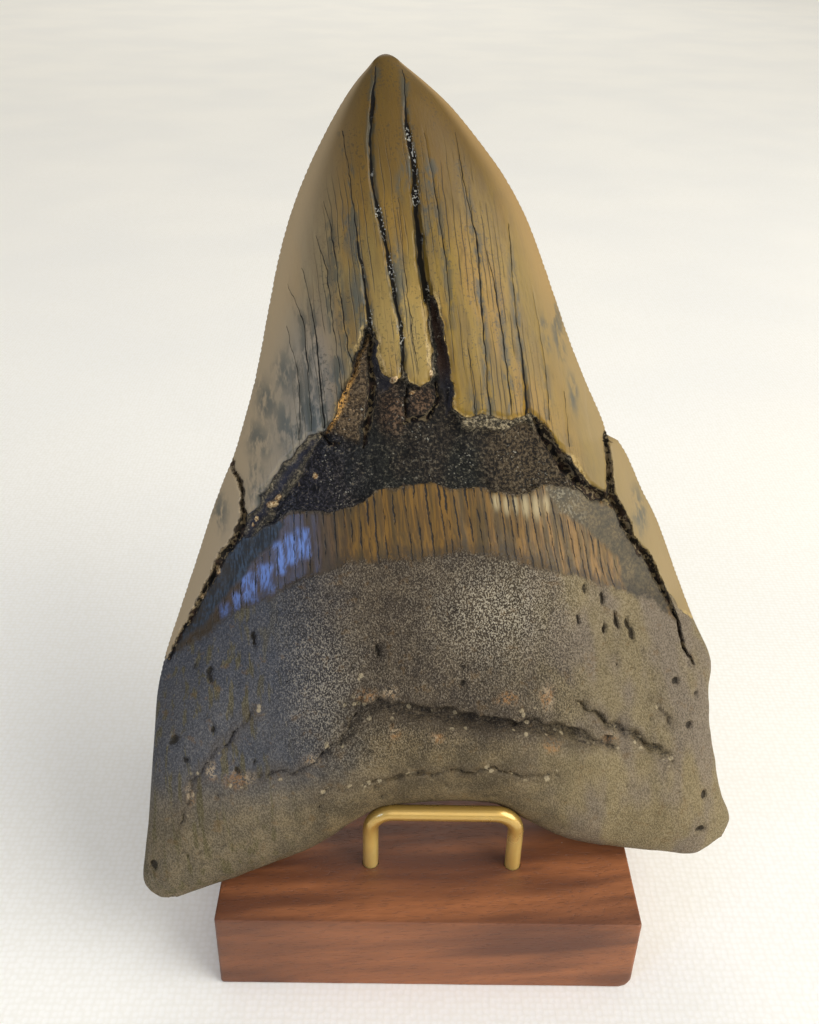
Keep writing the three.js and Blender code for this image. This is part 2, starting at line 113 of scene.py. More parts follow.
class Finish:
    """A surface finish while it is being mixed, with short ways to add its usual nodes."""

    def __init__(self, name):
        self.material = bpy.data.materials.new(name)
        self.material.use_nodes = True
        self.nodes = self.material.node_tree.nodes
        self.links = self.material.node_tree.links
        self.shader = self.nodes["Principled BSDF"]
        self.place = self.add("TexCoord").outputs["Object"]

    def add(self, kind, inputs=None, **settings):
        made = self.nodes.new("ShaderNode" + kind)
        for setting, value in settings.items():
            setattr(made, setting, value)
        for socket, value in (inputs or {}).items():
            self.feed(made.inputs[socket], value)
        return made

    def feed(self, socket, value):
        if isinstance(value, bpy.types.NodeSocket):
            self.links.new(value, socket)
        else:
            socket.default_value = value

    def sum(self, operation, first, second=0.0):
        return self.add("Math", {0: first, 1: second}, operation=operation).outputs[0]

    def plus(self, first, second):
        return self.sum("ADD", first, second)

    def minus(self, first, second):
        return self.sum("SUBTRACT", first, second)

    def times(self, first, *others):
        for other in others:
            first = self.sum("MULTIPLY", first, other)
        return first

    def most(self, first, second):
        return self.sum("MAXIMUM", first, second)

    def size_of(self, value):
        return self.sum("ABSOLUTE", value)

    def axes(self, vector):
        return self.add("SeparateXYZ", {"Vector": vector}).outputs

    def mark(self, name):
        """A measure that the mesh holds at each of its points."""
        return self.add("Attribute", attribute_name=name).outputs["Fac"]

    def step(self, value, start, end, low=0.0, high=1.0):
        """Low before start, high after end, and smooth between them."""
        inputs = {"Value": value, "From Min": start, "From Max": end, "To Min": low, "To Max": high}
        return self.add("MapRange", inputs, interpolation_type="SMOOTHSTEP").outputs[0]

    def stretched(self, stretch, place=None):
        return self.add("VectorMath", {0: place or self.place, 1: stretch}, operation="MULTIPLY").outputs[0]

    def cloud(self, size, stretch=(1, 1, 1), detail=2.0, rough=0.5, place=None):
        """Soft random pattern around 0.5 with lumps of that size in mm, longer where stretch is small."""
        inputs = {"Vector": self.stretched(stretch, place), "Scale": 1 / (size * MM)}
        inputs.update({"Detail": detail, "Roughness": rough})
        return self.add("TexNoise", inputs).outputs[0]

    def cells(self, size, detail=0.0, evenness=0.0):
        """Random cells of that size in mm: the distance from their middles, and a colour for each."""
        inputs = {"Vector": self.place, "Scale": 1 / (size * MM)}
        inputs.update({"Detail": detail, "Randomness": 1 - evenness})
        return self.add("TexVoronoi", inputs).outputs

    def borders(self, value, scale=1.0, evenness=0.0):
        """Distance to the nearest border where a growing value is cut into stretches of random length."""
        inputs = {"W": value, "Scale": scale, "Randomness": 1 - evenness}
        cut = self.add("TexVoronoi", inputs, voronoi_dimensions="1D", feature="DISTANCE_TO_EDGE")
        return cut.outputs["Distance"]

    def blend(self, share, first, second):
        """First colour where share is 0, second where it is 1."""
        return self.add("Mix", {0: share, 6: first, 7: second}, data_type="RGBA").outputs[2]

    def over(self, base, laid, share, strength=None):
        """A colour laid over the base where share is 1, at that strength."""
        return self.blend(share if strength is None else self.times(share, strength), base, laid)

    def between(self, share, first, second):
        """First value where share is 0, second where it is 1."""
        return self.add("Mix", {0: share, 2: first, 3: second}, data_type="FLOAT").outputs[0]

    def relief(self, height, depth, below=None):
        """Bump of that depth in mm, on top of the one below it."""
        made = self.add("Bump", {"Height": height, "Distance": depth * MM, "Strength": 1.0})
        if below is not None:
            self.links.new(below, made.inputs["Normal"])
        return made.outputs[0]

    def done(self, colour, roughness, normal, fixed=None):
        """The material, with sockets of its shader that are the same all over in fixed."""
        sockets = {"Base Color": colour, "Roughness": roughness, "Normal": normal, **(fixed or {})}
        for name, value in sockets.items():
            self.feed(self.shader.inputs[name], value)
        return self.material


def paint(red, green, blue):
    """A colour as it is seen on screen, 0 to 255 each, for a shader."""
    straight = [c / 255 for c in (red, green, blue)]
    return (*[c / 12.92 if c <= 0.04045 else ((c + 0.055) / 1.055) ** 2.4 for c in straight], 1.0)


DARK_WOOD, LIGHT_WOOD = paint(100, 58, 36), paint(164, 101, 60)
THIN_RING_WOOD = paint(92, 56, 34)
FIBRE_WOOD = paint(84, 50, 32)
DARK_END, LIGHT_END = paint(96, 58, 38), paint(146, 92, 60)
END_FIBRE = paint(70, 42, 28)
PORE_WOOD = paint(60, 36, 24)
SHADED_FRONT_LEFT = paint(84, 48, 30)
DUST = paint(190, 176, 160)
GRAIN_TURN = (0, math.radians(8), math.radians(-7))
GRAIN_WAVE_Y, GRAIN_WAVE_Z = 9 * MM, 6 * MM
# the sawn ends cut across the growth rings, which are arcs about a heart below the board
RING_HEART = (0, 14 * MM, -62 * MM)
RING_WIDTH = 3.4 * MM
RING_WAVE = 1.6


def oiled_walnut():
    walnut = Finish("oiled_walnut")
    along = walnut.add("Mapping", {"Vector": walnut.place, "Rotation": GRAIN_TURN}).outputs[0]
    waver = walnut.cloud(26, (0.35, 1, 1), place=along)
    wave = {"Y": walnut.times(waver, GRAIN_WAVE_Y), "Z": walnut.times(waver, GRAIN_WAVE_Z)}
    bent = walnut.add("CombineXYZ", wave).outputs[0]
    grown = walnut.add("VectorMath", {0: along, 1: bent}, operation="ADD").outputs[0]
    rings = walnut.cloud(7, (0.07, 1, 0.8), place=grown)
    thin_rings = walnut.cloud(1.3, (0.05, 1, 1), place=grown)
    fibres = walnut.cloud(0.32, (0.03, 1, 1), place=grown)
    pores = walnut.cloud(0.26, (0.10, 1, 1), detail=1, place=grown)
    colour = walnut.blend(walnut.step(rings, 0.34, 0.62), DARK_WOOD, LIGHT_WOOD)
    colour = walnut.over(colour, THIN_RING_WOOD, walnut.step(thin_rings, 0.36, 0.66, 0.20, 0.0))
    colour = walnut.over(colour, FIBRE_WOOD, walnut.step(fibres, 0.30, 0.70, 0.18, 0.0))

    facing = walnut.axes(walnut.add("NewGeometry").outputs["Normal"])
    on_end = walnut.step(walnut.size_of(facing["X"]), 0.7, 0.95)
    in_end = walnut.stretched((0, 1, 1))
    from_heart = walnut.add("VectorMath", {0: in_end, 1: RING_HEART}, operation="DISTANCE").outputs["Value"]
    ring_place = walnut.times(from_heart, 1 / RING_WIDTH)
    ring_place = walnut.plus(ring_place, walnut.times(waver, RING_WAVE))
    along_rings = {"W": ring_place, "Scale": 1.0, "Detail": 2.0}
    arcs = walnut.add("TexNoise", along_rings, noise_dimensions="1D").outputs[0]
    end_colour = walnut.blend(walnut.step(arcs, 0.36, 0.62), DARK_END, LIGHT_END)
    end_colour = walnut.over(end_colour, END_FIBRE, walnut.step(fibres, 0.30, 0.70, 0.22, 0.0))
    colour = walnut.over(colour, end_colour, on_end)

    open_pores = walnut.step(pores, 0.62, 0.68)
    colour = walnut.over(colour, PORE_WOOD, open_pores, 0.20)
    across, deep, _ = walnut.axes(walnut.place)
    # the front face is painted darker towards its left end, a painted shade where less light falls
    front_left_shade = walnut.times(walnut.step(across, -4 * MM, -36 * MM), walnut.step(deep, -30 * MM, -31.5 * MM))
    colour = walnut.over(colour, SHADED_FRONT_LEFT, front_left_shade, 0.5)
    specks = walnut.step(walnut.cells(6.5)["Distance"], 0.030, 0.018)
    colour = walnut.over(colour, DUST, specks, 0.5)
    normal = walnut.relief(fibres, 0.03)
    normal = walnut.relief(walnut.minus(1.0, open_pores), 0.05, normal)
    return walnut.done(colour, walnut.step(fibres, 0.3, 0.7, 0.44, 0.56), normal)


def plan_of_block():
    """Points round the block's plan with the direction that faces out of it at each."""
    middle = (block_low + block_high) / 2
    reach = (block_high - block_low) / 2 - Vector((BLOCK_CORNER_ROUND, BLOCK_CORNER_ROUND, 0))
    corners = []
    for quarter, (side_x, side_y) in enumerate(((1, 1), (-1, 1), (-1, -1), (1, -1))):
        for k in range(ROUND_STEPS + 1):
            angle = math.pi / 2 * (quarter + k / ROUND_STEPS)
            out = Vector((math.cos(angle), math.sin(angle)))
            centre = Vector((middle.x + side_x * reach.x, middle.y + side_y * reach.y))
            corners.append((centre + out * BLOCK_CORNER_ROUND, out))
    plan = []
    for (point, out), (following, _) in zip(corners, corners[1:] + corners[:1]):
        pieces = max(1, round((following - point).length / BLOCK_STEP))
        plan += [(point.lerp(following, k / pieces), out) for k in range(pieces)]
    return plan


def block_levels():
    """Height of each ring of points and how far inside the plan it lies, from the foot up."""
    quarter = [math.pi / 2 * k / ROUND_STEPS for k in range(ROUND_STEPS + 1)]
    rounding = [(BLOCK_EDGE_ROUND * (1 - math.sin(a)), BLOCK_EDGE_ROUND * (1 - math.cos(a))) for a in quarter]
    foot = [(block_low.z + rise, inset) for rise, inset in rounding[::-1]]
    top = [(block_high.z - fall, inset) for fall, inset in rounding]
    sides = np.arange(foot[-1][0] + BLOCK_STEP, top[0][0] - BLOCK_STEP / 2, BLOCK_STEP)
    return foot + [(z, 0.0) for z in sides] + top


def drill(form, x, y):
    """A blind hole with its wall and floor, and the edges of its mouth."""
    turns = [2 * math.pi * k / HOLE_SIDES for k in range(HOLE_SIDES)]
    around = [(x + HOLE_DIAMETER / 2 * math.cos(a), y + HOLE_DIAMETER / 2 * math.sin(a)) for a in turns]
    mouth = [form.verts.new((*p, block_high.z)) for p in around]
    floor = [form.verts.new((*p, block_high.z - HOLE_DEPTH)) for p in around]
    for k in range(HOLE_SIDES):
        form.faces.new((mouth[k - 1], mouth[k], floor[k], floor[k - 1]))
    form.faces.new(floor)
    return [form.edges.get((mouth[k - 1], mouth[k])) for k in range(HOLE_SIDES)]


def make_block():
    form = bmesh.new()
    plan = plan_of_block()
    rings = [[form.verts.new((*(p - out * inset), z)) for p, out in plan] for z, inset in block_levels()]
    for lower, upper in zip(rings, rings[1:]):
        for k in range(len(plan)):
            form.faces.new((lower[k - 1], lower[k], upper[k], upper[k - 1]))
    form.faces.new(rings[0][::-1])
    rims = [form.edges.get((rings[-1][k - 1], rings[-1][k])) for k in range(len(plan))]
    for y in ((staple_low.y + staple_high.y) / 2, (loop_low.y + loop_high.y) / 2):
        for side in (-1, 1):
            rims += drill(form, (staple_low.x + staple_high.x) / 2 + side * LEG_SPACING / 2, y)
    bmesh.ops.triangle_fill(form, edges=rims, use_beauty=True, normal=(0, 0, 1))
    chipped = Vector((block_high.x, block_low.y, block_low.z))
    for vert in form.verts:
        away = (vert.co - chipped).length / CHIP_REACH
        if away < 1:
            vert.co += CHIP_WAY * CHIP_DEPTH * (1 - away)
    bmesh.ops.recalc_face_normals(form, faces=form.faces)
    points = np.array([v.co for v in form.verts])
    form.verts.index_update()
    faces = [[v.index for v in f.verts] for f in form.faces]
    form.free()
    on_top = points[:, 2] > block_high.z - BLOCK_EDGE_ROUND / 2
    waver = SAW_WAVER * swell(points[:, 0] + points[:, 1], points[:, 2] * 2, SAW_WAVER_LENGTH, 4)
    points[:, 1] += np.where(on_top, 0, np.abs(waver)) * np.sign(-points[:, 1])
    block = shown_mesh("walnut_block", points, faces, oiled_walnut(), "base_block", smooth_angle=35)
    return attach(block, BODY)


make_block()


# Brass supports
# Two lengths of 1/8 in brass rod, each bent into an upside-down U and pressed into the block.
# The low staple carries the front of the root, and the tooth leans on the tall loop behind.

WIRE_SIDES = 28
BEND_RADIUS = 4.5 * MM
BEND_STEPS = 12
LEG_STEPS = 6
END_ROUND = 0.4 * MM

PALE_BRASS, WARM_BRASS = paint(255, 228, 138), paint(250, 218, 122)
SHADED_BRASS = paint(190, 150, 70)
# the legs keep the paler brass near the block, and the tops of the wires are painted darker between these two
# heights, a painted shade and dark reflection of the tooth above them
SHADE_START, SHADE_FULL = 25 * MM, 31 * MM


def satin_brass():
    brass = Finish("satin_brass")
    smudge = brass.cloud(5)
    brushed = brass.cloud(0.25, (1, 1, 0.3), detail=1)
    colour = brass.blend(brass.step(smudge, 0.35, 0.7), PALE_BRASS, WARM_BRASS)
    height = brass.axes(brass.place)["Z"]
    # painted shade on the upper part of both wires
    colour = brass.over(colour, SHADED_BRASS, brass.step(height, SHADE_START, SHADE_FULL, 0.0, 0.85))
    polish = {"Metallic": 0.65, "Coat Weight": 0.9, "Coat Roughness": 0.12}
    return brass.done(colour, brass.step(smudge, 0.3, 0.7, 0.26, 0.36), brass.relief(brushed, 0.006), polish)


def wire_route(low, high):
    """Middle line of a bent wire in the upright plane that its box stands in."""
    middle = (low + high) / 2
    half = LEG_SPACING / 2
    top = high.z - WIRE_DIAMETER / 2
    inner = half - BEND_RADIUS
    bend_z = top - BEND_RADIUS
    quarter = [math.pi / 2 * k / BEND_STEPS for k in range(BEND_STEPS + 1)]
    left = [(-inner - BEND_RADIUS * math.cos(a), bend_z + BEND_RADIUS * math.sin(a)) for a in quarter]
    right = [(-x, z) for x, z in left[::-1]]
    leg = [(-half, low.z + (bend_z - low.z) * k / LEG_STEPS) for k in range(LEG_STEPS)]
    line = leg + left + right + [(-x, z) for x, z in leg[::-1]]
    return [Vector((middle.x + x, middle.y, z)) for x, z in line]


def make_wire(name, node, finish):
    route = wire_route(*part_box(node))
    points = []
    for k, place in enumerate(route):
        heading = (route[min(k + 1, len(route) - 1)] - route[max(k - 1, 0)]).normalized()
        across = heading.cross(Vector((0, 1, 0)))
        for turn in range(WIRE_SIDES):
            angle = 2 * math.pi * turn / WIRE_SIDES
            spoke = across * math.cos(angle) + Vector((0, 1, 0)) * math.sin(angle)
            shrink = END_ROUND if k in (0, len(route) - 1) else 0
            points.append(place + spoke * (WIRE_DIAMETER / 2 - shrink))
    faces = []
    for k in range(len(route) - 1):
        for turn in range(WIRE_SIDES):
            a = k * WIRE_SIDES + turn
            b = k * WIRE_SIDES + (turn + 1) % WIRE_SIDES
            faces.append((a, a + WIRE_SIDES, b + WIRE_SIDES, b))
    faces.append(tuple(range(WIRE_SIDES)))
    faces.append(tuple(range(len(points) - WIRE_SIDES, len(points)))[::-1])
    wire = shown_mesh(name, points, faces, finish, node, smooth_angle=50)
    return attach(wire, BODY)


brass = satin_brass()
make_wire("brass_front_staple", "front_staple", brass)
make_wire("brass_rear_loop", "rear_loop", brass)


# Fossil tooth
# One mineralised tooth: a crown of glossy enamel with long cracks, a broken lower edge that
# shows dark rough dentine, a golden band below it, and a grainy root with two lobes. It is
# not fixed: its root rests on the front staple and its back on the rear loop.

LEAN_BACK = math.radians(26)
ROLL_LEFT = math.radians(4.5)
TURN = math.radians(6)
TOOTH_PLACE = Vector((1.27, -5.95, 29.62)) * MM

# outline in mm, across and up from the notch in the root, as the solid has it
LEFT_EDGE = [
    (-58.6, -11.2), (-59.8, -8.4), (-58.7, -2.6), (-57.3, 3.4), (-55.7, 12.0), (-54.3, 20.0),
    (-53.0, 27.5), (-50.9, 34.2), (-47.2, 42.5), (-41.7, 54.3), (-37.9, 62.6), (-34.6, 69.0),
    (-32.8, 72.2), (-29.8, 79.1), (-26.8, 86.7), (-22.0, 101.8), (-19.4, 109.8), (-16.6, 116.8),
    (-12.8, 124.4), (-8.5, 131.4), (-4.0, 137.8), (-0.6, 141.8), (2.6, 144.8),
]
RIGHT_EDGE = [
    (58.2, -17.4), (60.1, -13.0), (58.9, -8.5), (57.9, -1.9), (57.4, 6.7), (57.9, 13.8),
    (59.4, 20.0), (57.4, 28.3), (54.8, 39.6), (52.3, 49.2), (49.7, 55.8), (45.4, 66.8),
    (43.2, 68.4), (42.5, 71.3), (39.6, 79.8), (37.1, 88.2), (33.0, 104.5), (30.7, 112.6),
    (27.2, 120.9), (22.6, 128.6), (17.3, 136.1), (13.2, 140.5), (8.6, 144.8),
]
BOTTOM_EDGE = [
    (-58.6, -11.2), (-56.4, -12.6), (-54.0, -12.9), (-50.5, -12.2), (-39.7, -9.9), (-24.8, -5.5),
    (-16.4, -1.2), (-11.0, 0.5), (0.2, -0.1), (9.9, -1.8), (16.0, -6.0), (23.7, -11.3),
    (30.7, -14.4), (44.5, -18.2), (51.5, -19.8), (58.2, -17.4),
]
TIP_LEVEL = 144.8
TIP_DOME = 1.8
CROWN_FRONT = [
    (20, 13.4), (45, 13.6), (62, 13.2), (80, 11.8), (100, 9.8), (120, 7.2), (135, 4.6), (142, 2.6),
    (146.8, 0.4),
]
CROWN_BACK = [(20, 5.0), (60, 4.8), (100, 3.8), (125, 2.6), (140, 1.4), (146.8, 0.3)]

# the root is a thick pad on both sides of its rim, in mm, with a bulge in the middle of the inner
# face and a slight hollow in the outer one, and it is rounded over at its sides and its foot
RIM_FORWARD = 8.0
RIM_BACK_AT_SIDES = 1.6
PAD_FRONT = 7.0
PAD_BULGE, BULGE_REACH = 4.0, 27.0
PAD_BACK = 13.0
PAD_HOLLOW, HOLLOW_REACH = 1.0, 18.0
SIDE_ROUND = 14.0
FRONT_FOOT_ROUND = 17.0
BACK_FOOT_ROUND = 15.0
# heights between which the root turns into the crown, on the inner and the outer face
FRONT_NECK = (26.0, 48.0)
BACK_NECK = (8.0, 46.0)
# share of its thickness that each face keeps under the deepest break
FRONT_LEFT_OVER = 0.25
BACK_LEFT_OVER = 0.35

# fineness of the tooth's grid, both even because the outer face uses every second line
COLUMNS = 236
ROWS = 330


def smooth_curve(points):
    """Curve through points whose first value rises, with no overshoot between them."""
    at, value = np.array(points, float).T
    slopes = np.diff(value) / np.diff(at)
    before, after = slopes[:-1], slopes[1:]
    rising = before * after > 0
    inner = np.where(rising, 2 * before * after / np.where(rising, before + after, 1), 0)
    tangents = np.concatenate([slopes[:1], inner, slopes[-1:]])

    def curve(where):
        i = np.clip(np.searchsorted(at, where) - 1, 0, len(at) - 2)
        span = at[i + 1] - at[i]
        t = np.clip((where - at[i]) / span, 0, 1)
        blend = 3 * t**2 - 2 * t**3
        slope = tangents[i] * (t**3 - 2 * t**2 + t) + tangents[i + 1] * (t**3 - t**2)
        return value[i] * (1 - blend) + value[i + 1] * blend + slope * span

    return curve


left_at = smooth_curve([(up, x) for x, up in LEFT_EDGE])
right_at = smooth_curve([(up, x) for x, up in RIGHT_EDGE])
# the main slab of enamel ends at a crack beside the step in the right edge, and would run on without it
slab_right_at = smooth_curve([(up, x) for x, up in RIGHT_EDGE if not 60 < up < 70])
STEP_CRACK = [(56.8, 41.2), (62.0, 42.0), (68.4, 42.6)]
bottom_at = smooth_curve(BOTTOM_EDGE)
crown_front_at = smooth_curve(CROWN_FRONT)
crown_back_at = smooth_curve(CROWN_BACK)


def quarter_round(distance, radius):
    """0 at an edge, 1 from that radius inwards, and a quarter of a circle between them."""
    rest = 1 - np.clip(distance / radius, 0, 1)
    return np.sqrt(1 - rest * rest)


def rim_depth(x, up):
    """Depth of the rim where the two faces meet: mid-way in the root, further back up the crown."""
    forward = RIM_FORWARD - RIM_BACK_AT_SIDES * ease(np.abs(x), 14, 40)
    return -forward * (1 - ease(up, 5, 45))


def lumps(x, up):
    """Slow waves in the surface of the root."""
    broad = 0.35 * np.sin((x + 7.9) / 6.1) * np.cos(up / 5.3)
    return broad + 0.25 * np.sin(x / 3.7 - up / 6.9)


def tooth_place(x, up):
    """0 to 1 from the middle to the side, and the distances from the side and from the foot."""
    left, right = left_at(up), right_at(up)
    beyond_crack = ease(x - np.interp(up, *np.array(STEP_CRACK).T), -0.4, 0.6)
    slab_right = slab_right_at(up) * (1 - beyond_crack) + right * beyond_crack
    side = np.abs(np.clip((2 * x - left - slab_right) / (slab_right - left), -1, 1))
    return side, np.maximum(0, np.minimum(x - left, right - x)), np.maximum(0, up - bottom_at(x))


def front_stand(x, up):
    """How far the front face stands off the rim: a lens in the crown, a thick pad in the root."""
    side, to_side, to_foot = tooth_place(x, up)
    crown = crown_front_at(up) * (1 - side**2.3)
    pad = PAD_FRONT + PAD_BULGE * np.exp(-((x / BULGE_REACH) ** 2)) + lumps(x, up)
    root = pad * quarter_round(to_side, SIDE_ROUND) * quarter_round(to_foot, FRONT_FOOT_ROUND)
    share = ease(up + 12 * side**2, *FRONT_NECK)
    return crown * share + root * (1 - share)


def back_stand(x, up):
    """The same for the outer face, which is flatter in the crown."""
    side, to_side, to_foot = tooth_place(x, up)
    crown = crown_back_at(up) * (1 - side**3)
    pad = PAD_BACK - PAD_HOLLOW * np.exp(-((x / HOLLOW_REACH) ** 2)) + 0.6 * lumps(x + 20, up)
    root = pad * quarter_round(to_side, SIDE_ROUND) * quarter_round(to_foot, BACK_FOOT_ROUND)
    share = ease(up, *BACK_NECK)
    return crown * share + root * (1 - share)


def tooth_grid():
    """Across and up of each point of the tooth's grid, in rows from the foot to the tip."""
    u, v = np.meshgrid(np.linspace(0, 1, COLUMNS + 1), np.linspace(0, 1, ROWS + 1))
    across = 0.6 * (2 * u - 1) + 0.4 * np.sin(np.pi * (u - 0.5))
    along = (across + 1) / 2
    climb = 0.75 * v + 0.25 * v**1.6
    (foot_left, low_left), (foot_right, low_right) = BOTTOM_EDGE[0], BOTTOM_EDGE[-1]
    level_left = low_left + (TIP_LEVEL - low_left) * climb
    level_right = low_right + (TIP_LEVEL - low_right) * climb
    level = level_left * (1 - along) + level_right * along
    x = left_at(level_left) * (1 - along) + right_at(level_right) * along
    arch = bottom_at(foot_left * (1 - along) + foot_right * along)
    arch = arch - (low_left * (1 - along) + low_right * along)
    dome = TIP_DOME * (1 - across**2) * ease(level, 120, TIP_LEVEL)
    return x, level + arch * (1 - ease(level, -17, 110)) + dome


# worn serrations: a nick in the cutting edge at every second row, fading in three columns
NICK_ROWS = 2
NICK_DEPTH = 0.17
NICK_FADE = (1.0, 0.4, 0.1)


def nick_edges(x, up):
    dice = np.random.default_rng(11)
    for side, first, step in ((1, 0, 1), (-1, COLUMNS, -1)):
        wear = dice.uniform(0.35, 1.0, ROWS + 1)
        nick = np.where(np.arange(ROWS + 1) % NICK_ROWS == 0, NICK_DEPTH * wear, 0)
        nick *= ease(up[:, first], 26, 34) * (1 - ease(up[:, first], 136, 142))
        for k, share in enumerate(NICK_FADE):
            x[:, first + k * step] += side * nick * share


# how low the enamel reaches at its two ends
ENAMEL_FOOT = [
    (-60.0, 33.6), (-50.2, 33.6), (-46.1, 39.7), (-43.5, 43.1), (-39.6, 48.8), (-36.8, 53.5),
    (-33.2, 57.0), (39.7, 56.4), (42.9, 53.4), (45.4, 46.2), (49.2, 41.2), (51.9, 35.4),
    (54.6, 31.4), (57.2, 28.4), (60.0, 27.6),
]
# outlines of the broken enamel, of the band below it, and of the smoother patches at its two ends
ENAMEL_EDGE = [
    (-33.2, 57.0), (-31.5, 59.8), (-27.4, 64.7), (-23.3, 69.3), (-18.1, 74.8), (-14.0, 75.9),
    (-10.5, 81.0), (-7.2, 88.6), (-4.2, 94.4), (-2.9, 90.2), (-2.0, 84.6), (-0.4, 83.0),
    (0.8, 83.8), (1.6, 86.5), (2.2, 83.2), (4.2, 81.7), (6.3, 82.6), (7.2, 85.9), (7.0, 92.0),
    (7.6, 99.0), (9.3, 99.0), (10.3, 92.0), (10.4, 85.0), (10.8, 77.0), (12.5, 75.3), (17.4, 75.0),
    (21.6, 74.0), (25.7, 74.7), (28.1, 71.3), (32.9, 65.1), (36.3, 59.8), (39.7, 56.4),
]
BAND_TOP = [
    (-29.5, 57.0), (-22.7, 61.2), (-15.8, 60.1), (-10.5, 60.5), (-6.2, 63.1), (-1.6, 63.6),
    (3.9, 63.5), (8.2, 62.3), (13.8, 61.4), (18.4, 59.5), (23.7, 59.2), (25.9, 60.3), (31.0, 59.2),
    (36.7, 57.4),
]
BAND_LOW = [
    (-50.2, 34.2), (-43.2, 37.2), (-36.7, 41.9), (-28.7, 44.6), (-20.8, 48.1), (-13.0, 49.9),
    (-5.5, 50.2), (2.8, 49.1), (9.4, 49.8), (17.1, 47.3), (24.8, 44.2), (32.8, 40.8), (47.2, 34.3),
    (53.1, 28.2),
]
BAND_LEFT_END = [(-50.2, 34.6), (-43.5, 43.1), (-36.8, 53.5), (-33.2, 57.0)]
BAND_RIGHT_END = [(39.6, 56.2), (42.9, 53.9), (45.4, 46.2), (49.2, 41.2), (51.3, 35.0)]
GREY_PATCH = [
    (26.7, 59.4), (30.1, 60.9), (36.4, 57.1), (43.0, 53.1), (45.8, 46.0), (49.0, 41.2),
    (51.6, 35.0), (50.6, 31.0), (42.0, 36.4), (41.6, 43.2), (35.5, 50.3), (29.4, 55.1),
]
BLUE_PATCH = [
    (-33.5, 57.5), (-26.0, 60.0), (-23.5, 58.6), (-30.0, 52.0), (-36.5, 46.5), (-43.0, 39.4),
    (-49.5, 35.2), (-43.5, 43.1), (-36.8, 53.5),
]

# grooves as across, up and width in mm. Long cracks down the enamel, from the foot up.
CRACKS = [
    [(1.5, 85.0, 0.9), (2.0, 92.7, 0.8), (1.6, 98.8, 0.9), (1.2, 105.5, 0.8), (0.7, 112.4, 0.8),
     (0.0, 119.1, 0.7), (0.3, 126.6, 0.7), (1.7, 135.8, 0.7), (3.4, 144.0, 0.19)],
    [(7.9, 98.2, 1.9), (7.5, 105.5, 1.6), (7.6, 112.9, 1.3), (7.7, 118.3, 1.1), (8.1, 124.6, 0.9),
     (7.8, 131.3, 0.7), (8.3, 137.8, 0.31), (8.6, 143.0, 0.19)],
    [(-3.8, 93.0, 0.9), (-3.8, 101.3, 0.7), (-4.2, 111.1, 0.31), (-4.1, 117.9, 0.31), (-4.5, 132.2, 0.19)],
    [(-7.5, 87.0, 0.31), (-8.3, 90.7, 0.25), (-8.5, 98.3, 0.25), (-8.9, 114.2, 0.22), (-9.6, 119.2, 0.12)],
    [(-10.3, 81.5, 0.31), (-10.4, 90.0, 0.25), (-10.7, 106.7, 0.22), (-11.7, 112.7, 0.12)],
    [(-14.5, 76.0, 0.37), (-14.2, 85.4, 0.31), (-14.0, 94.7, 0.25), (-15.1, 107.0, 0.12)],
    [(-17.0, 75.6, 0.37), (-16.4, 85.7, 0.28), (-16.1, 94.9, 0.25), (-18.1, 104.3, 0.12)],
    [(-19.5, 74.2, 0.31), (-18.3, 86.0, 0.25), (-19.4, 96.2, 0.12)],
    [(11.5, 91.8, 0.19), (12.1, 103.4, 0.25), (11.7, 114.3, 0.22), (11.1, 129.7, 0.12)],
    [(17.4, 75.0, 0.37), (17.6, 84.6, 0.28), (18.2, 97.4, 0.31), (18.7, 106.6, 0.25), (17.5, 121.7, 0.19),
     (17.3, 130.2, 0.12)],
    [(21.7, 74.6, 0.31), (21.8, 86.7, 0.25), (21.5, 97.2, 0.22), (20.6, 106.6, 0.12)],
    [(24.9, 73.6, 0.9), (25.4, 86.4, 0.37), (25.1, 90.8, 0.31), (25.5, 102.7, 0.22), (26.2, 111.8, 0.12)],
    [(14.4, 75.3, 0.25), (14.4, 88.3, 0.12)],
    [(4.3, 84.0, 0.15), (4.0, 100.0, 0.19), (4.4, 118.0, 0.12)],
    [(29.6, 72.6, 0.22), (30.2, 84.0, 0.19), (29.6, 98.0, 0.12)],
    [(33.4, 67.0, 0.19), (33.9, 78.0, 0.12)],
]
# wide cracks beside the two cutting edges, and the one at the right end of the break
SIDE_BREAKS = [
    [(-33.4, 72.6, 0.7), (-32.0, 66.2, 0.8), (-31.9, 61.3, 1.0), (-33.2, 57.0, 1.8), (-36.8, 53.5, 1.9),
     (-39.6, 48.8, 1.4), (-43.5, 43.1, 1.1), (-46.1, 39.7, 0.9), (-50.2, 33.6, 0.6)],
    [(42.6, 68.4, 1.5), (42.0, 62.0, 1.5), (41.2, 56.8, 2.4), (42.9, 53.4, 2.4), (45.4, 46.2, 1.7),
     (49.2, 41.2, 1.6), (51.3, 35.0, 1.3), (53.0, 29.6, 0.7), (53.0, 24.4, 0.9), (54.2, 20.6, 0.5)],
    [(26.5, 73.0, 1.2), (29.4, 68.4, 2.4), (33.4, 61.4, 2.9), (37.3, 57.0, 2.7), (39.6, 56.2, 1.6)],
]
# clefts that run from the break up into the enamel
CLEFTS = [
    [(-3.7, 92.0, 0.9), (-4.3, 87.0, 1.3), (-5.0, 80.0, 1.8), (-6.0, 75.0, 1.7), (-7.4, 71.6, 0.5)],
    [(-0.8, 75.2, 0.4), (1.8, 75.9, 1.3), (5.2, 76.0, 1.8), (7.6, 79.0, 1.2), (7.9, 82.6, 0.5)],
    [(2.0, 82.6, 0.4), (1.5, 79.6, 0.8), (1.2, 76.6, 1.0)],
    [(-15.2, 75.4, 0.7), (-13.4, 72.8, 0.9), (-11.4, 72.6, 0.4)],
]
